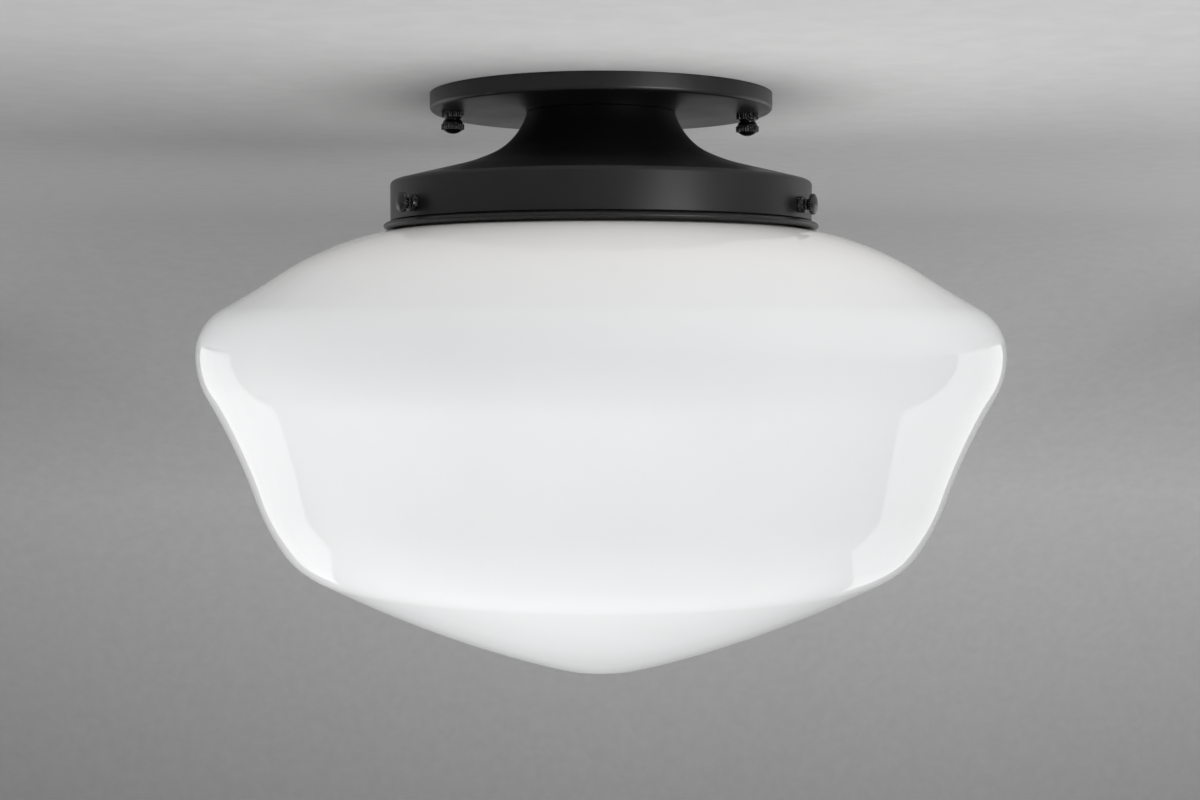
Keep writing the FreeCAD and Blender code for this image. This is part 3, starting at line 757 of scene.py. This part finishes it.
def makeHolder():
    h = holder
    slope, neck = math.radians(h["flare"][-1][1]), math.radians(h["neckSlope"])
    start = (canopy["nipple"], -canopy["depth"])
    flare = [h["neckRadius"] - canopy["nipple"] - h["topCorner"] * math.sin(neck),
             (h["topCorner"], h["neckSlope"])] + h["flare"]
    reached = walkPath(start, 0.0, flare)[-1]
    cornerRun = h["shoulderCorner"] * (1 - math.sin(slope))
    shoulder = flare + [(h["bandRadius"] - reached[0] - cornerRun) / math.cos(slope),
                        (h["shoulderCorner"], 90.0)]
    bandTop = walkPath(start, 0.0, shoulder)[-1][1]
    innerRadius = h["bandRadius"] - h["wall"]
    outer = walkPath(start, 0.0, shoulder + [bandTop - h["bandBottom"]])
    inner = walkPath(start, 0.0, shoulder + [bandTop - h["lipBottom"] - h["lipTurn"]],
                     inset=h["wall"])
    lipCentre = (h["bandRadius"] + h["lipOut"], (h["lipTop"] + h["lipBottom"]) / 2)
    reach = h["lipRadius"] - lipCentre[0]
    half = (h["lipTop"] - h["lipBottom"]) / 2
    lip = [(lipCentre[0] + reach * math.cos(a), lipCentre[1] + half * math.sin(a))
           for a in (math.radians(90 - 15 * k) for k in range(13))]
    outline = outer + [(h["bandRadius"] - h["groove"], (h["bandBottom"] + h["lipTop"]) / 2)]
    outline += lip + [(innerRadius + h["lipTurn"], h["lipBottom"])] + inner[::-1]
    piece = meshObject("shadeHolder", [latheParts(outline, h["columns"])])
    places = [layOutwards(angle, h["screwLevel"]) for angle in h["screwAngles"].values()]
    boss = cylinderParts(h["boss"], innerRadius - h["bossReach"], h["bandRadius"] - h["bossSink"])
    hole = cylinderParts(h["screwHole"], innerRadius - h["holeStart"],
                         h["bandRadius"] + h["holeEnd"])
    carve(piece, [boss] * len(places), "UNION", places)
    carve(piece, [hole] * len(places), "DIFFERENCE", places)
    finishPiece(piece, "shade_holder")


makeGlass()
makeCanopy()
makeHolder()
print("glass, canopy and holder made")


# Knurled nuts under the canopy and thumbscrews in the band

nut = {
    "collar": 0.00425, "collarLength": 0.0021, "collarStep": 0.0002,
    "waist": 0.00305, "waistDrop": 0.0030, "waistOut": 0.00015, "waistRise": 0.0004,
    "band": 0.0044, "bandStart": 0.0046, "bandEnd": 0.0068, "bandDip": 0.0007,
    "dome": 0.0036, "length": 0.0083, "bore": 0.0021, "boreEnd": -0.0136,
    "teeth": 28, "tooth": 0.00042, "bevel": 0.0002,
}
thumbscrew = {
    "shank": 0.00205, "shankGap": 0.0004, "tip": 0.07105, "point": 0.0005,
    "collar": 0.0030, "collarLength": 0.0023, "collarRound": 0.00035, "collarEase": 0.00012,
    "waist": 0.0020, "rim": 0.00375, "rimStart": 0.0043, "rimEnd": 0.0056,
    "face": 0.00315, "faceRise": 0.0002, "length": 0.0063,
    "teeth": 25, "tooth": 0.00040, "bevel": 0.0002,
}
turned = {"sharp": 28.0, "edge": 0.0001, "step": 0.00002}    # shared by both
thread832 = {"crest": 0.00205, "depth": 0.0004, "pitch": 0.00079375}


def knurlRows(radius, first, last, look):
    # rows of one knurled band, from its first level to its last
    bevel, tooth = look["bevel"], look["tooth"]
    inward = bevel if last > first else -bevel
    return [(radius - bevel, first, tooth * 0.6), (radius, first + inward, tooth),
            (radius, last - inward, tooth), (radius - bevel, last, tooth * 0.6)]


def makeNut(name, x):
    n = nut
    edge, step = turned["edge"], turned["step"]
    top = -canopy["depth"]
    collarEnd, bandStart, bandEnd = (top - n[key] for key in ("collarLength", "bandStart",
                                                              "bandEnd"))
    waist = (n["waist"], top - n["waistDrop"])
    core = n["collar"] - n["tooth"]
    outline = [(n["bore"], top)] + knurlRows(n["collar"], top, collarEnd, n)
    outline += throughPoints((core - n["collarStep"], collarEnd - step),
                             (n["waist"] + n["waistOut"], waist[1] + n["waistRise"]), waist)
    outline += throughPoints(waist, (n["band"] - n["bandDip"], (waist[1] + bandStart) / 2),
                             (n["band"] - n["tooth"] - edge, bandStart + step))[1:]
    outline += knurlRows(n["band"], bandStart, bandEnd, n)
    outline += capArc(n["dome"], bandEnd - edge, top - n["length"])
    outline += [(0.0, n["boreEnd"]), (n["bore"], n["boreEnd"])]
    parts = [shifted(latheParts(outline, 8 * n["teeth"], n["teeth"]), x)]
    makePiece("canopyNut" + name.title(), parts, "canopy_nut_" + name, turned["sharp"])


def makeThumbscrew(name, angle):
    t = thumbscrew
    edge, step, collar = turned["edge"], turned["step"], t["collar"]
    band = holder["bandRadius"]
    place = layOutwards(angle, holder["screwLevel"])
    seat, shankEnd, collarEnd = band + edge, band + t["shankGap"], band + t["collarLength"]
    rimStart, rimEnd = band + t["rimStart"], band + t["rimEnd"]
    collarTop = (collar - t["collarRound"], collarEnd)
    outline = [(t["shank"], shankEnd), (t["shank"], seat), (collar - edge, seat),
               (collar, seat + edge), (collar, collarEnd - t["collarRound"]),
               (collar - edge, collarEnd - t["collarEase"])]
    outline += throughPoints(collarTop, (t["waist"], (collarEnd + rimStart) / 2),
                             (t["rim"] - t["tooth"] - edge, rimStart - step))
    outline += knurlRows(t["rim"], rimStart, rimEnd, t) + [(t["face"] + edge, rimEnd + step)]
    outline += capArc(t["face"], rimEnd + t["faceRise"], band + t["length"]) + [(0.0, shankEnd)]
    parts = [latheParts(outline, 8 * t["teeth"], t["teeth"])]
    makePiece("thumbscrewHead" + name.title(), parts, f"thumbscrew_{name}_head",
              turned["sharp"], place)
    makePiece("thumbscrewShank" + name.title(),
              rodParts(thread832, t["tip"], shankEnd, t["point"]),
              f"thumbscrew_{name}_shank", place=place)


for side, x in screwX.items():
    makeNut(side, x)
for side, angle in holder["screwAngles"].items():
    makeThumbscrew(side, angle)
print("nuts and thumbscrews made")


# Strap and the screws on it

strap = {
    "thickness": 0.0016, "width": 0.0180, "halfLength": 0.0610,
    "joggleStart": 0.0505, "joggleRun": 0.0020, "joggle": 0.0022,
    "eye": 0.0150, "hole": 0.0110,
    "slotSpacing": 0.0794, "slotLength": 0.0180, "slotRadius": 0.0024,
    "edge": 0.00025, "cutFoot": -0.01,
}
stud = {**thread832, "tip": -0.0132, "headRadius": 0.0035, "headHeight": 0.0021}
groundScrew = {
    "x": -0.022, "crest": 0.0023, "depth": 0.0004, "pitch": 0.00079375,
    "flange": 0.0042, "flangeThickness": 0.0006, "flangeRound": 0.0002, "overlap": 0.0001,
    "flats": 0.0064, "headHeight": 0.0022, "bevel": 25.0,
    "slotWidth": 0.0010, "slotDepth": 0.0012,
}
panHead = {"flat": 0.62, "fall": 0.02, "curve": 0.45, "edge": 0.00015, "slotReach": 0.0002}


def makeStrap():
    s = strap
    bend = []
    for k in range(9):
        t = k / 8
        bend.append((s["joggleStart"] + s["joggleRun"] * t, -s["joggle"] * t * t * (3 - 2 * t)))
    upper = bend + [(s["halfLength"], -s["joggle"])]
    upper = [(-x, z) for x, z in reversed(upper)] + upper
    lower = [(x, z - s["thickness"]) for x, z in upper]
    piece = meshObject("mountingStrap",
                       [stripParts(upper, lower, -s["width"] / 2, s["width"] / 2)])
    carve(piece, [cylinderParts(s["eye"], -s["thickness"], 0.0, 96)], "UNION")
    carve(piece, [cylinderParts(s["halfLength"], s["cutFoot"], past, 256)], "INTERSECT")
    holes = [cylinderParts(s["hole"], s["cutFoot"], past, 96),
             cylinderParts(groundScrew["crest"], s["cutFoot"], past, 40, groundScrew["x"])]
    reach = s["slotLength"] / 2 - s["slotRadius"]
    for side, x in ((-1, screwX["left"]), (1, screwX["right"])):
        holes.append(cylinderParts(stud["crest"], s["cutFoot"], past, 40, x))
        middle = side * s["slotSpacing"] / 2
        verts, faces = cylinderParts(s["slotRadius"], s["cutFoot"], past, 48)
        holes.append(([(vx + middle + (reach if vx > 0 else -reach), vy, vz)
                       for vx, vy, vz in verts], faces))
    carve(piece, holes)
    softenEdges(piece, s["edge"])
    finishPiece(piece, "mounting_strap")


def makeScrew(name, look, seat, tip, node, places):
    # slotted pan head screws above their seat, one at each place
    p, high, r = panHead, look["headHeight"], look["headRadius"]
    top = seat + high
    head = [(0.0, top), (p["flat"] * r, top - p["fall"] * high)]
    for turn in (48, 36, 24, 12, 0):
        a = math.radians(turn)
        head.append((r * math.cos(a), top - high * (p["curve"] - p["curve"] * math.sin(a))))
    head += [(r, seat + p["edge"]), (r - p["edge"], seat), (look["crest"] - look["depth"], seat)]
    screw = [latheParts(head, 40, closed=False)]
    screw += rodParts(look, tip, seat, look["depth"], closeTop=False)
    piece = meshObject(name, [shifted(part, x, y) for x, y in places for part in screw])
    reach = r + p["slotReach"]
    carve(piece, [blockParts((x - reach, y - r / 8, top - high / 2),
                             (x + reach, y + r / 8, top + past)) for x, y in places])
    finishPiece(piece, node)


def makeGroundScrew():
    g = groundScrew
    root, seat, soft = g["crest"] - g["depth"], -strap["thickness"], g["flangeRound"]
    flange = seat - g["flangeThickness"]
    low = flange - g["headHeight"]
    head = hexagonParts(g["flats"], 0.0, low, flange + g["overlap"], g["bevel"])
    piece = meshObject("groundScrew", [shifted(head, g["x"])])
    carve(piece, [blockParts((g["x"] - g["flats"], -g["slotWidth"] / 2, low - past),
                             (g["x"] + g["flats"], g["slotWidth"] / 2, low + g["slotDepth"]))])
    parts = rodParts(g, flange + g["overlap"], 0.0)
    parts.append(latheParts(softOutline([(root, seat, 0.0), (g["flange"], seat, soft),
                                         (g["flange"], flange, soft), (root, flange, 0.0)]), 48))
    addParts(piece, [shifted(part, g["x"]) for part in parts])
    finishPiece(piece, "ground_screw")


makeStrap()
for side, x in screwX.items():
    makeScrew("canopyStud" + side.title(), stud, -strap["joggle"], stud["tip"],
              "canopy_stud_" + side, [(x, 0.0)])
makeGroundScrew()
print("strap and screws made")


# Nipple with its nuts, and the bracket of the lampholder

stack = {
    "nipple": 0.0051, "bore": 0.0034, "boreBevel": 0.0003, "top": -0.0019, "bottom": -0.0130,
    "threadDepth": 0.00035, "pitch": 0.00094074,
    "washer": 0.0084, "washerThickness": 0.0008, "washerGap": 0.0012, "washerRound": 0.00015,
    "flats": 0.0143, "nutThickness": 0.0024, "nutBevel": 30.0,
}
bracket = {
    "thickness": 0.0014, "width": 0.0140, "halfSpan": 0.0132, "bend": 0.0012, "foot": 0.0200,
    "drop": 0.0095, "screwX": 0.0174, "screwLength": 0.0090, "edge": 0.0002,
}
smallScrew = {"crest": 0.0016, "depth": 0.0003, "pitch": 0.00079375,
              "headRadius": 0.0027, "headHeight": 0.0018}
canopyFloor = -canopy["depth"] + canopy["wall"]
holderFloor = -canopy["depth"] - holder["wall"]
socketTop = holderFloor - bracket["drop"]
footTop = socketTop + bracket["thickness"]
bracketScrewTip = footTop - bracket["screwLength"]


def makeNipple():
    s = stack
    root, top, bottom = s["nipple"] - s["threadDepth"], s["top"], s["bottom"]
    bore, bevel = s["bore"], s["boreBevel"]
    parts = [threadParts(s["nipple"], s["threadDepth"], s["pitch"], bottom, top)]
    parts.append(latheParts([(root, top), (bore + bevel, top), (bore, top - bevel),
                             (bore, bottom + bevel), (bore + bevel, bottom), (root, bottom)], 48,
                            closed=False))
    makePiece("threadedNipple", parts, "nipple")


def makeWasherAndNut(name, washerLow, nutLow):
    s = stack
    washerHigh, soft = washerLow + s["washerThickness"], s["washerRound"]
    washer = softOutline([(s["nipple"], washerLow, soft), (s["washer"], washerLow, soft),
                          (s["washer"], washerHigh, soft), (s["nipple"], washerHigh, soft)], 2)
    piece = meshObject(name + "LockWasher", [latheParts(washer, 96)])
    carve(piece, [blockParts((0.0, -s["washerGap"] / 2, washerLow - past),
                             (s["washer"] + past, s["washerGap"] / 2, washerLow + 2 * past))])
    finishPiece(piece, name + "_lock_washer")
    hexagon = hexagonParts(s["flats"], s["nipple"], nutLow, nutLow + s["nutThickness"],
                           s["nutBevel"])
    makePiece(name + "Locknut", [hexagon], name + "_locknut")


def makeBracket():
    b = bracket
    t, bend = b["thickness"], b["bend"]
    wide = bend + t
    crown, ankle = b["halfSpan"] - wide, b["halfSpan"] + bend
    paths = []
    for first, second, footLevel in ((wide, bend, footTop), (bend, wide, socketTop)):
        path = arcPoints((crown, holderFloor - wide), first, 90.0, 0.0, 8)
        path += arcPoints((ankle, socketTop + wide), second, 180.0, 270.0, 8)
        path.append((b["foot"], footLevel))
        paths.append([(-x, z) for x, z in reversed(path)] + path)
    piece = meshObject("socketBracket", [stripParts(*paths, -b["width"] / 2, b["width"] / 2)])
    holes = [cylinderParts(stack["nipple"], holderFloor - 5 * past, holderFloor + past, 64)]
    for side in (-1, 1):
        holes.append(cylinderParts(smallScrew["crest"], socketTop - past, socketTop + 3 * past,
                                   40, side * b["screwX"]))
    carve(piece, holes)
    softenEdges(piece, b["edge"])
    finishPiece(piece, "socket_bracket")


makeNipple()
makeWasherAndNut("canopy", canopyFloor, canopyFloor + stack["washerThickness"])
socketWasher = holderFloor - bracket["thickness"] - stack["washerThickness"]
makeWasherAndNut("socket", socketWasher, socketWasher - stack["nutThickness"])
makeBracket()
makeScrew("bracketScrews", smallScrew, footTop, bracketScrewTip, "bracket_screws",
          [(bracket["screwX"], 0.0), (-bracket["screwX"], 0.0)])
print("nipple, nuts and bracket made")


# Lampholder: porcelain body, screw shell, centre contact and terminals

socket = {
    "topRadius": 0.0208, "mouthRadius": 0.0220, "height": 0.0430,
    # two bends of the waist, each with its radius and its level from the middle
    "waist": [((0.0208, 0.0008), (0.02095, 0.0), (0.02104, -0.0008)),
              ((0.02176, -0.0032), (0.02193, -0.0040), (0.0220, -0.0048))],
    "bore": 0.0144, "boreDepth": 0.0320, "edge": 0.0020, "lip": 0.0010,
    "shellWall": 0.0004, "shellLength": 0.0280, "shellFlange": 0.0114,
    "threadDepth": 0.0005, "threadPitch": 0.0036286,
    "leafThickness": 0.0006, "leafHalf": 0.0055, "leafWidth": 0.0060, "leafDrop": 0.0020,
    "leafEdge": 0.0001, "lugWidth": 0.0040, "lugOverlap": 0.0008,
    "tab": 0.0008, "tabWidth": 0.0070, "tabInner": 0.0024, "tabOuter": 0.0034,
    "terminalY": 0.0130, "terminalDepth": 0.006, "stemY": 0.0090, "stem": 0.0014,
    "stemOverlap": 0.0002,
}
terminalScrew = {**smallScrew, "headRadius": 0.0029}
shellThread = {"columns": 96, "steps": 16, "rounded": True, "lead": 0.0012}
socketBottom = socketTop - socket["height"]
socketBoreTop = socketBottom + socket["boreDepth"]


def makeSocketBody():
    s = socket
    edge, lip = s["edge"], s["lip"]
    middle = (socketTop + socketBottom) / 2
    outline = [(0.0, socketTop)]
    outline += arcPoints((s["topRadius"] - edge, socketTop - edge), edge, 90.0, 0.0, 6)
    for bend in s["waist"]:
        outline += throughPoints(*((r, middle + z) for r, z in bend), 4)
    outline += arcPoints((s["mouthRadius"] - edge, socketBottom + edge), edge, 0.0, -90.0, 6)
    outline += arcPoints((s["bore"] + lip, socketBottom + lip), lip, -90.0, -180.0, 6)
    outline += [(s["bore"], socketBoreTop), (0.0, socketBoreTop)]
    piece = meshObject("socketBody", [latheParts(outline, 128, closed=False)])
    high = socketTop + past
    holes = []
    for side in (-1, 1):
        holes += [
            cylinderParts(smallScrew["crest"], bracketScrewTip, high, 32, side * bracket["screwX"]),
            cylinderParts(s["stem"], socketBoreTop - past, high, 32, 0.0, side * s["stemY"]),
            cylinderParts(terminalScrew["crest"], socketTop - s["terminalDepth"], high, 32, 0.0,
                          side * s["terminalY"])]
    carve(piece, holes)
    finishPiece(piece, "socket_body")


def terminalParts(side):
    # tab on the porcelain, and the stem down through it
    s = socket
    ends = sorted((side * (s["stemY"] - s["tabInner"]), side * (s["terminalY"] + s["tabOuter"])))
    half = s["tabWidth"] / 2
    return [blockParts((-half, ends[0], socketTop), (half, ends[1], socketTop + s["tab"])),
            cylinderParts(s["stem"], socketBoreTop - s["stemOverlap"], socketTop + s["tab"] / 2,
                          32, 0.0, side * s["stemY"])]


def makeScrewShell():
    s = socket
    bottom = socketBoreTop - s["shellLength"]
    inner = s["bore"] - s["shellWall"]
    flangeLow = socketBoreTop - s["shellWall"]
    root, innerRoot = s["bore"] - s["threadDepth"], inner - s["threadDepth"]
    parts = [threadParts(radius, s["threadDepth"], s["threadPitch"], bottom, high, **shellThread)
             for radius, high in ((s["bore"], socketBoreTop), (inner, flangeLow))]
    parts += [
        latheParts([(root, socketBoreTop), (s["shellFlange"], socketBoreTop),
                    (s["shellFlange"], flangeLow), (innerRoot, flangeLow)], 96, closed=False),
        latheParts([(root, bottom), (innerRoot, bottom)], 96, closed=False),
        blockParts((-s["lugWidth"] / 2, -inner, flangeLow),
                   (s["lugWidth"] / 2, -s["stemY"], socketBoreTop)),
    ]
    makePiece("socketScrewShell", parts + terminalParts(-1), "socket_screw_shell")


def makeCentreContact():
    s = socket
    half, t = s["leafHalf"], s["leafThickness"]
    ball = (half ** 2 + s["leafDrop"] ** 2) / (2 * s["leafDrop"])
    upper = []
    for k in range(17):
        x = half * (k / 8 - 1)
        upper.append((x, socketBoreTop - s["leafDrop"] + ball - math.sqrt(ball ** 2 - x ** 2)))
    lower = [(x, z - t) for x, z in upper]
    verts, faces = stripParts(upper, lower, -s["leafWidth"] / 2, s["leafWidth"] / 2)
    leaf = ([(-y, x, z) for x, y, z in verts], faces)
    lug = blockParts((-s["lugWidth"] / 2, half - s["lugOverlap"], socketBoreTop - t),
                     (s["lugWidth"] / 2, s["stemY"] + s["stem"], socketBoreTop))
    piece = meshObject("centreContact", [leaf, lug] + terminalParts(1))
    softenEdges(piece, s["leafEdge"], 1)
    finishPiece(piece, "centre_contact")


makeSocketBody()
makeScrewShell()
makeCentreContact()
tabTop = socketTop + socket["tab"]
for name, side in (("Hot", 1), ("Neutral", -1)):
    makeScrew("terminalScrew" + name, terminalScrew, tabTop, tabTop - socket["terminalDepth"],
              "terminal_screw_" + name.lower(), [(0.0, side * socket["terminalY"])])
print("lampholder made")


# Bulb

bulb = {
    "gap": 0.0003, "contact": 0.0046, "contactHeight": 0.0014,
    "insulatorTop": 0.0056, "insulatorBottom": 0.0116, "insulatorHeight": 0.0034,
    "insulatorLip": 0.0004, "insulatorEase": 0.0003, "insulatorWaist": (0.0084, 0.0020),
    "shell": 0.01315, "shellLength": 0.0215, "shellTaper": 0.0012,
    "shellCorner": [(0.0004, 0.0), (0.0001, 0.0002)],
    "threadDepth": 0.0008, "threadPitch": 0.0036286,
    "collar": 0.0002, "collarEdge": 0.0003,
    "neck": 0.0139, "neckDrop": 0.0050, "flare": 0.0204,
    "globe": 0.0300, "domeDrop": 0.0510, "seamRise": 0.0110, "seamStep": 0.0002, "wall": 0.0016,
    "overlap": 0.0001,
}


def makeBulb():
    b = bulb
    top = socketBoreTop - socket["leafDrop"] - socket["leafThickness"] - b["gap"]
    contactBottom = top - b["contactHeight"]
    shellTop = contactBottom - b["insulatorHeight"]
    shellBottom = shellTop - b["shellLength"]
    centre = shellBottom - b["domeDrop"]
    seam, step = centre + b["seamRise"], b["seamStep"]
    seamAngle = math.degrees(math.asin(b["seamRise"] / b["globe"]))
    seamRadius = b["globe"] * math.cos(math.radians(seamAngle))
    contact = capArc(b["contact"], contactBottom, top)[::-1] + [(0.0, contactBottom)]
    makePiece("bulbContact", [latheParts(contact, 64, closed=False)], "bulb_contact")
    waist, fall = b["insulatorWaist"]
    outline = [(0.0, contactBottom), (b["insulatorTop"] - b["insulatorLip"], contactBottom)]
    outline += throughPoints((b["insulatorTop"], contactBottom - b["insulatorEase"]),
                             (waist, contactBottom - fall),
                             (b["insulatorBottom"], shellTop + b["overlap"]), 8)
    outline += [(b["insulatorBottom"], shellTop), (0.0, shellTop)]
    makePiece("bulbInsulator", [latheParts(outline, 64, closed=False)], "bulb_insulator")
    root, taperEnd = b["shell"] - b["threadDepth"], shellTop - b["shellTaper"]
    corner = [(root - inward, shellTop - fall) for inward, fall in b["shellCorner"]]
    shell = [
        threadParts(b["shell"], b["threadDepth"], b["threadPitch"], shellBottom, taperEnd,
                    **shellThread),
        latheParts([(0.0, shellTop)] + corner + [(root, taperEnd)], 96, closed=False),
        latheParts([(root, shellBottom), (0.0, shellBottom)], 96, closed=False),
    ]
    makePiece("bulbScrewShell", shell, "bulb_screw_shell")
    neckEnd = shellBottom - b["neckDrop"]
    rim = b["shell"] + b["collar"]
    housing = [(0.0, shellBottom), (rim - b["collarEdge"], shellBottom),
               (rim, shellBottom - b["collarEdge"])]
    housing += throughPoints((b["neck"], neckEnd), (b["flare"], (neckEnd + seam) / 2),
                             (seamRadius, seam + step), 24)
    housing += [(seamRadius - step, seam), (0.0, seam)]
    makePiece("bulbHousing", [latheParts(housing, 128, closed=False)], "bulb_housing")
    innerRadius = b["globe"] - b["wall"]
    innerAngle = math.degrees(math.asin(b["seamRise"] / innerRadius))
    dome = arcPoints((0.0, centre), b["globe"], seamAngle, -90.0, 32)
    dome[-1] = (0.0, centre - b["globe"])
    hollow = arcPoints((0.0, centre), innerRadius, -90.0, innerAngle, 32)
    hollow[0] = (0.0, centre - innerRadius)
    makePiece("bulbDiffuser", [latheParts(dome + hollow, 128)], "bulb_diffuser")


makeBulb()
print("bulb made")


# Studio: a pale sheet that is ceiling, wall and floor in one sweep, and soft lamps

studio = {
    "halfWidth": 2.6,
    "ceiling": 0.0001,           # just above the canopy's rim
    "front": -0.36, "back": 1.55, "coveRadius": 0.80,
    "floor": -1.25, "floorFront": -1.6, "floorRadius": 0.35,
    "boxHole": 0.052,            # the opening in the ceiling that the canopy covers
    "boxDepth": -0.01,
    # the far ceiling tone is painted shade behind the light
    "ceilingTone": 0.80, "paintedShadeFarTone": 0.60, "wallTone": 0.84, "floorTone": 0.42,
    "nearY": -0.20, "farY": 0.15, "toneTop": -0.01, "toneFoot": -0.30, "floorBlend": 0.3,
    "creaseScale": 75.0, "creases": 0.03, "creaseBump": (0.15, 0.0006), "roughness": 0.9,
}
lamps = {
    # angle is degrees to the right of the camera, size is width and height
    "keyRight": {"angle": 36.0, "distance": 1.15, "height": -0.60, "size": (1.45, 1.12),
                 "power": 8.6, "mirrored": False},
    "keyStrip": {"angle": 38.0, "distance": 1.15, "height": -0.30, "size": (0.44, 0.52),
                 "power": 5.6, "shinesOn": "metal"},
    "frontLeft": {"angle": -48.0, "distance": 1.15, "height": -0.70, "size": (1.0, 0.60),
                  "power": 3.7, "mirrored": False},
    "sideLeft": {"angle": -95.0, "distance": 0.80, "height": -0.42, "size": (0.70, 0.70),
                 "power": 3.3, "mirrored": False, "shinesOn": "pieces"},
    "rearLeft": {"angle": -128.0, "distance": 1.10, "height": -0.42, "size": (0.60, 0.80),
                 "power": 1.1},
    "rearRight": {"angle": 125.0, "distance": 1.10, "height": -0.42, "size": (0.80, 1.00),
                  "power": 2.0},
    "below": {"angle": -20.0, "distance": 0.08, "height": -0.64, "size": (0.60, 0.60),
              "power": 1.9, "mirrored": False, "shinesOn": "pieces"},
    "ceilingGlow": {"angle": 45.0, "distance": 0.08, "height": -0.0003, "size": (1.1, 1.1),
                    "power": 1.75, "target": (0.0525, -0.0604, -1.0), "mirrored": False,
                    "shinesOn": "pieces"},
    "wallWash": {"angle": 78.0, "distance": 1.05, "height": -0.75, "size": (0.9, 0.6),
                 "power": 5.0, "target": (0.60, 1.50, -0.25), "mirrored": False,
                 "shinesOn": "backdrop"},
}
lampTarget = (0.0, 0.0, -0.10)
world = {"lightTone": 0.13, "seenTone": 0.20}


def makeStageMaterial():
    s = studio
    material, tree, shader = startMaterial("backdropPaper", {"Roughness": s["roughness"]})
    geometry = tree.nodes.new("ShaderNodeNewGeometry").outputs
    split = splitPlace(tree, geometry["Position"])
    # painted shade: the ceiling tone darkens from near the light to far behind it, in place of the
    # shadow and falloff there
    far = spreadValue(tree, split["Y"], 0.0, 1.0, s["nearY"], s["farY"])
    tone = mixColours(tree, far, grey(s["ceilingTone"]), grey(s["paintedShadeFarTone"]))
    # lower down the tone turns to the wall's, and then darker again towards the floor
    fall = spreadValue(tree, split["Z"], 1.0, 0.0, s["toneFoot"], s["toneTop"])
    tone = mixColours(tree, fall, tone, grey(s["wallTone"]))
    low = spreadValue(tree, split["Z"], 1.0, 0.0, s["floor"] + s["floorBlend"], s["toneFoot"])
    tone = mixColours(tree, low, tone, grey(s["floorTone"]))
    crease = noiseNode(tree, geometry["Position"], Scale=s["creaseScale"], Detail=6.0,
                       Distortion=0.3)
    shade = spreadValue(tree, crease, 1 - s["creases"], 1 + s["creases"])
    feed(tree, shader.inputs["Base Color"], scaleColour(tree, tone, shade))
    bumpFrom(tree, shader, crease, *s["creaseBump"])
    flat = addNode(tree, "ShaderNodeCombineXYZ", X=split["X"], Y=split["Y"], Z=0.0)
    reach = addNode(tree, "ShaderNodeVectorMath", operation="LENGTH")
    feed(tree, reach.inputs[0], flat.outputs[0])
    inside = mathNode(tree, "LESS_THAN", reach.outputs["Value"], s["boxHole"])
    raised = mathNode(tree, "GREATER_THAN", split["Z"], s["boxDepth"])
    hole = mathNode(tree, "MULTIPLY", inside, raised)
    mix = tree.nodes.new("ShaderNodeMixShader")
    feed(tree, mix.inputs["Fac"], mathNode(tree, "MAXIMUM", hole, geometry["Backfacing"]))
    feed(tree, mix.inputs[1], shader.outputs["BSDF"])
    feed(tree, mix.inputs[2], tree.nodes.new("ShaderNodeBsdfTransparent").outputs["BSDF"])
    feed(tree, tree.nodes["Material Output"].inputs["Surface"], mix.outputs["Shader"])
    return material


def makeStage():
    s = studio
    cove, floorRadius = s["coveRadius"], s["floorRadius"]
    path = [(s["front"], s["ceiling"])]
    path += arcPoints((s["back"] - cove, s["ceiling"] - cove), cove, 90.0, 0.0, 24)
    path += arcPoints((s["back"] - floorRadius, s["floor"] + floorRadius), floorRadius,
                      0.0, -90.0, 16)
    path.append((s["floorFront"], s["floor"]))
    verts = [(x, y, z) for y, z in path for x in (-s["halfWidth"], s["halfWidth"])]
    faces = [[k, k + 2, k + 3, k + 1] for k in range(0, len(verts) - 2, 2)]
    mesh = bpy.data.meshes.new("backdrop")
    mesh.from_pydata(verts, [], faces)
    mesh.shade_smooth()
    backdrop = bpy.data.objects.new("backdrop", mesh)
    scene.collection.objects.link(backdrop)
    if mesh.polygons[0].normal.z > 0:
        mesh.flip_normals()
    mesh.materials.append(makeStageMaterial())


def makeLamps():
    # some lamps shine on the light alone or on the backdrop alone, as if flags stood between
    groups = {name: bpy.data.collections.new("lit " + name)
              for name in ("pieces", "metal", "backdrop")}
    for piece in scene.objects:
        if piece.type == "MESH" and piece.name == "backdrop":
            groups["backdrop"].objects.link(piece)
        elif piece.type == "MESH":
            groups["pieces"].objects.link(piece)
            if piece.data.materials[0].name != "opalGlass":
                groups["metal"].objects.link(piece)
    for name, lamp in lamps.items():
        data = bpy.data.lights.new(name, "AREA")
        data.shape = "RECTANGLE"
        data.size, data.size_y = lamp["size"]
        data.energy = lamp["power"]
        piece = bpy.data.objects.new(name, data)
        scene.collection.objects.link(piece)
        a = math.radians(lamp["angle"] - view["azimuth"])
        piece.location = (lamp["distance"] * math.sin(a), -lamp["distance"] * math.cos(a),
                          lamp["height"])
        aim = Vector(lamp.get("target", lampTarget)) - piece.location
        piece.rotation_mode = "QUATERNION"
        piece.rotation_quaternion = aim.to_track_quat("-Z", "Y")
        piece.visible_camera = False
        piece.visible_glossy = lamp.get("mirrored", True)
        if "shinesOn" in lamp:
            piece.light_linking.receiver_collection = groups[lamp["shinesOn"]]


def makeWorld():
    # the air lights the scene little, and shows as a plain grey where the sheet ends
    sky = bpy.data.worlds.new("studioAir")
    sky.use_nodes = True
    tree = sky.node_tree
    ray = tree.nodes.new("ShaderNodeLightPath").outputs
    seen = mathNode(tree, "MAXIMUM", ray["Is Camera Ray"], ray["Is Glossy Ray"])
    seen = mathNode(tree, "MAXIMUM", seen, ray["Is Transmission Ray"])
    tone = mixColours(tree, seen, grey(world["lightTone"]), grey(world["seenTone"]))
    feed(tree, tree.nodes["Background"].inputs["Color"], tone)
    scene.world = sky


makeStage()
makeLamps()
makeWorld()
print("studio ready")
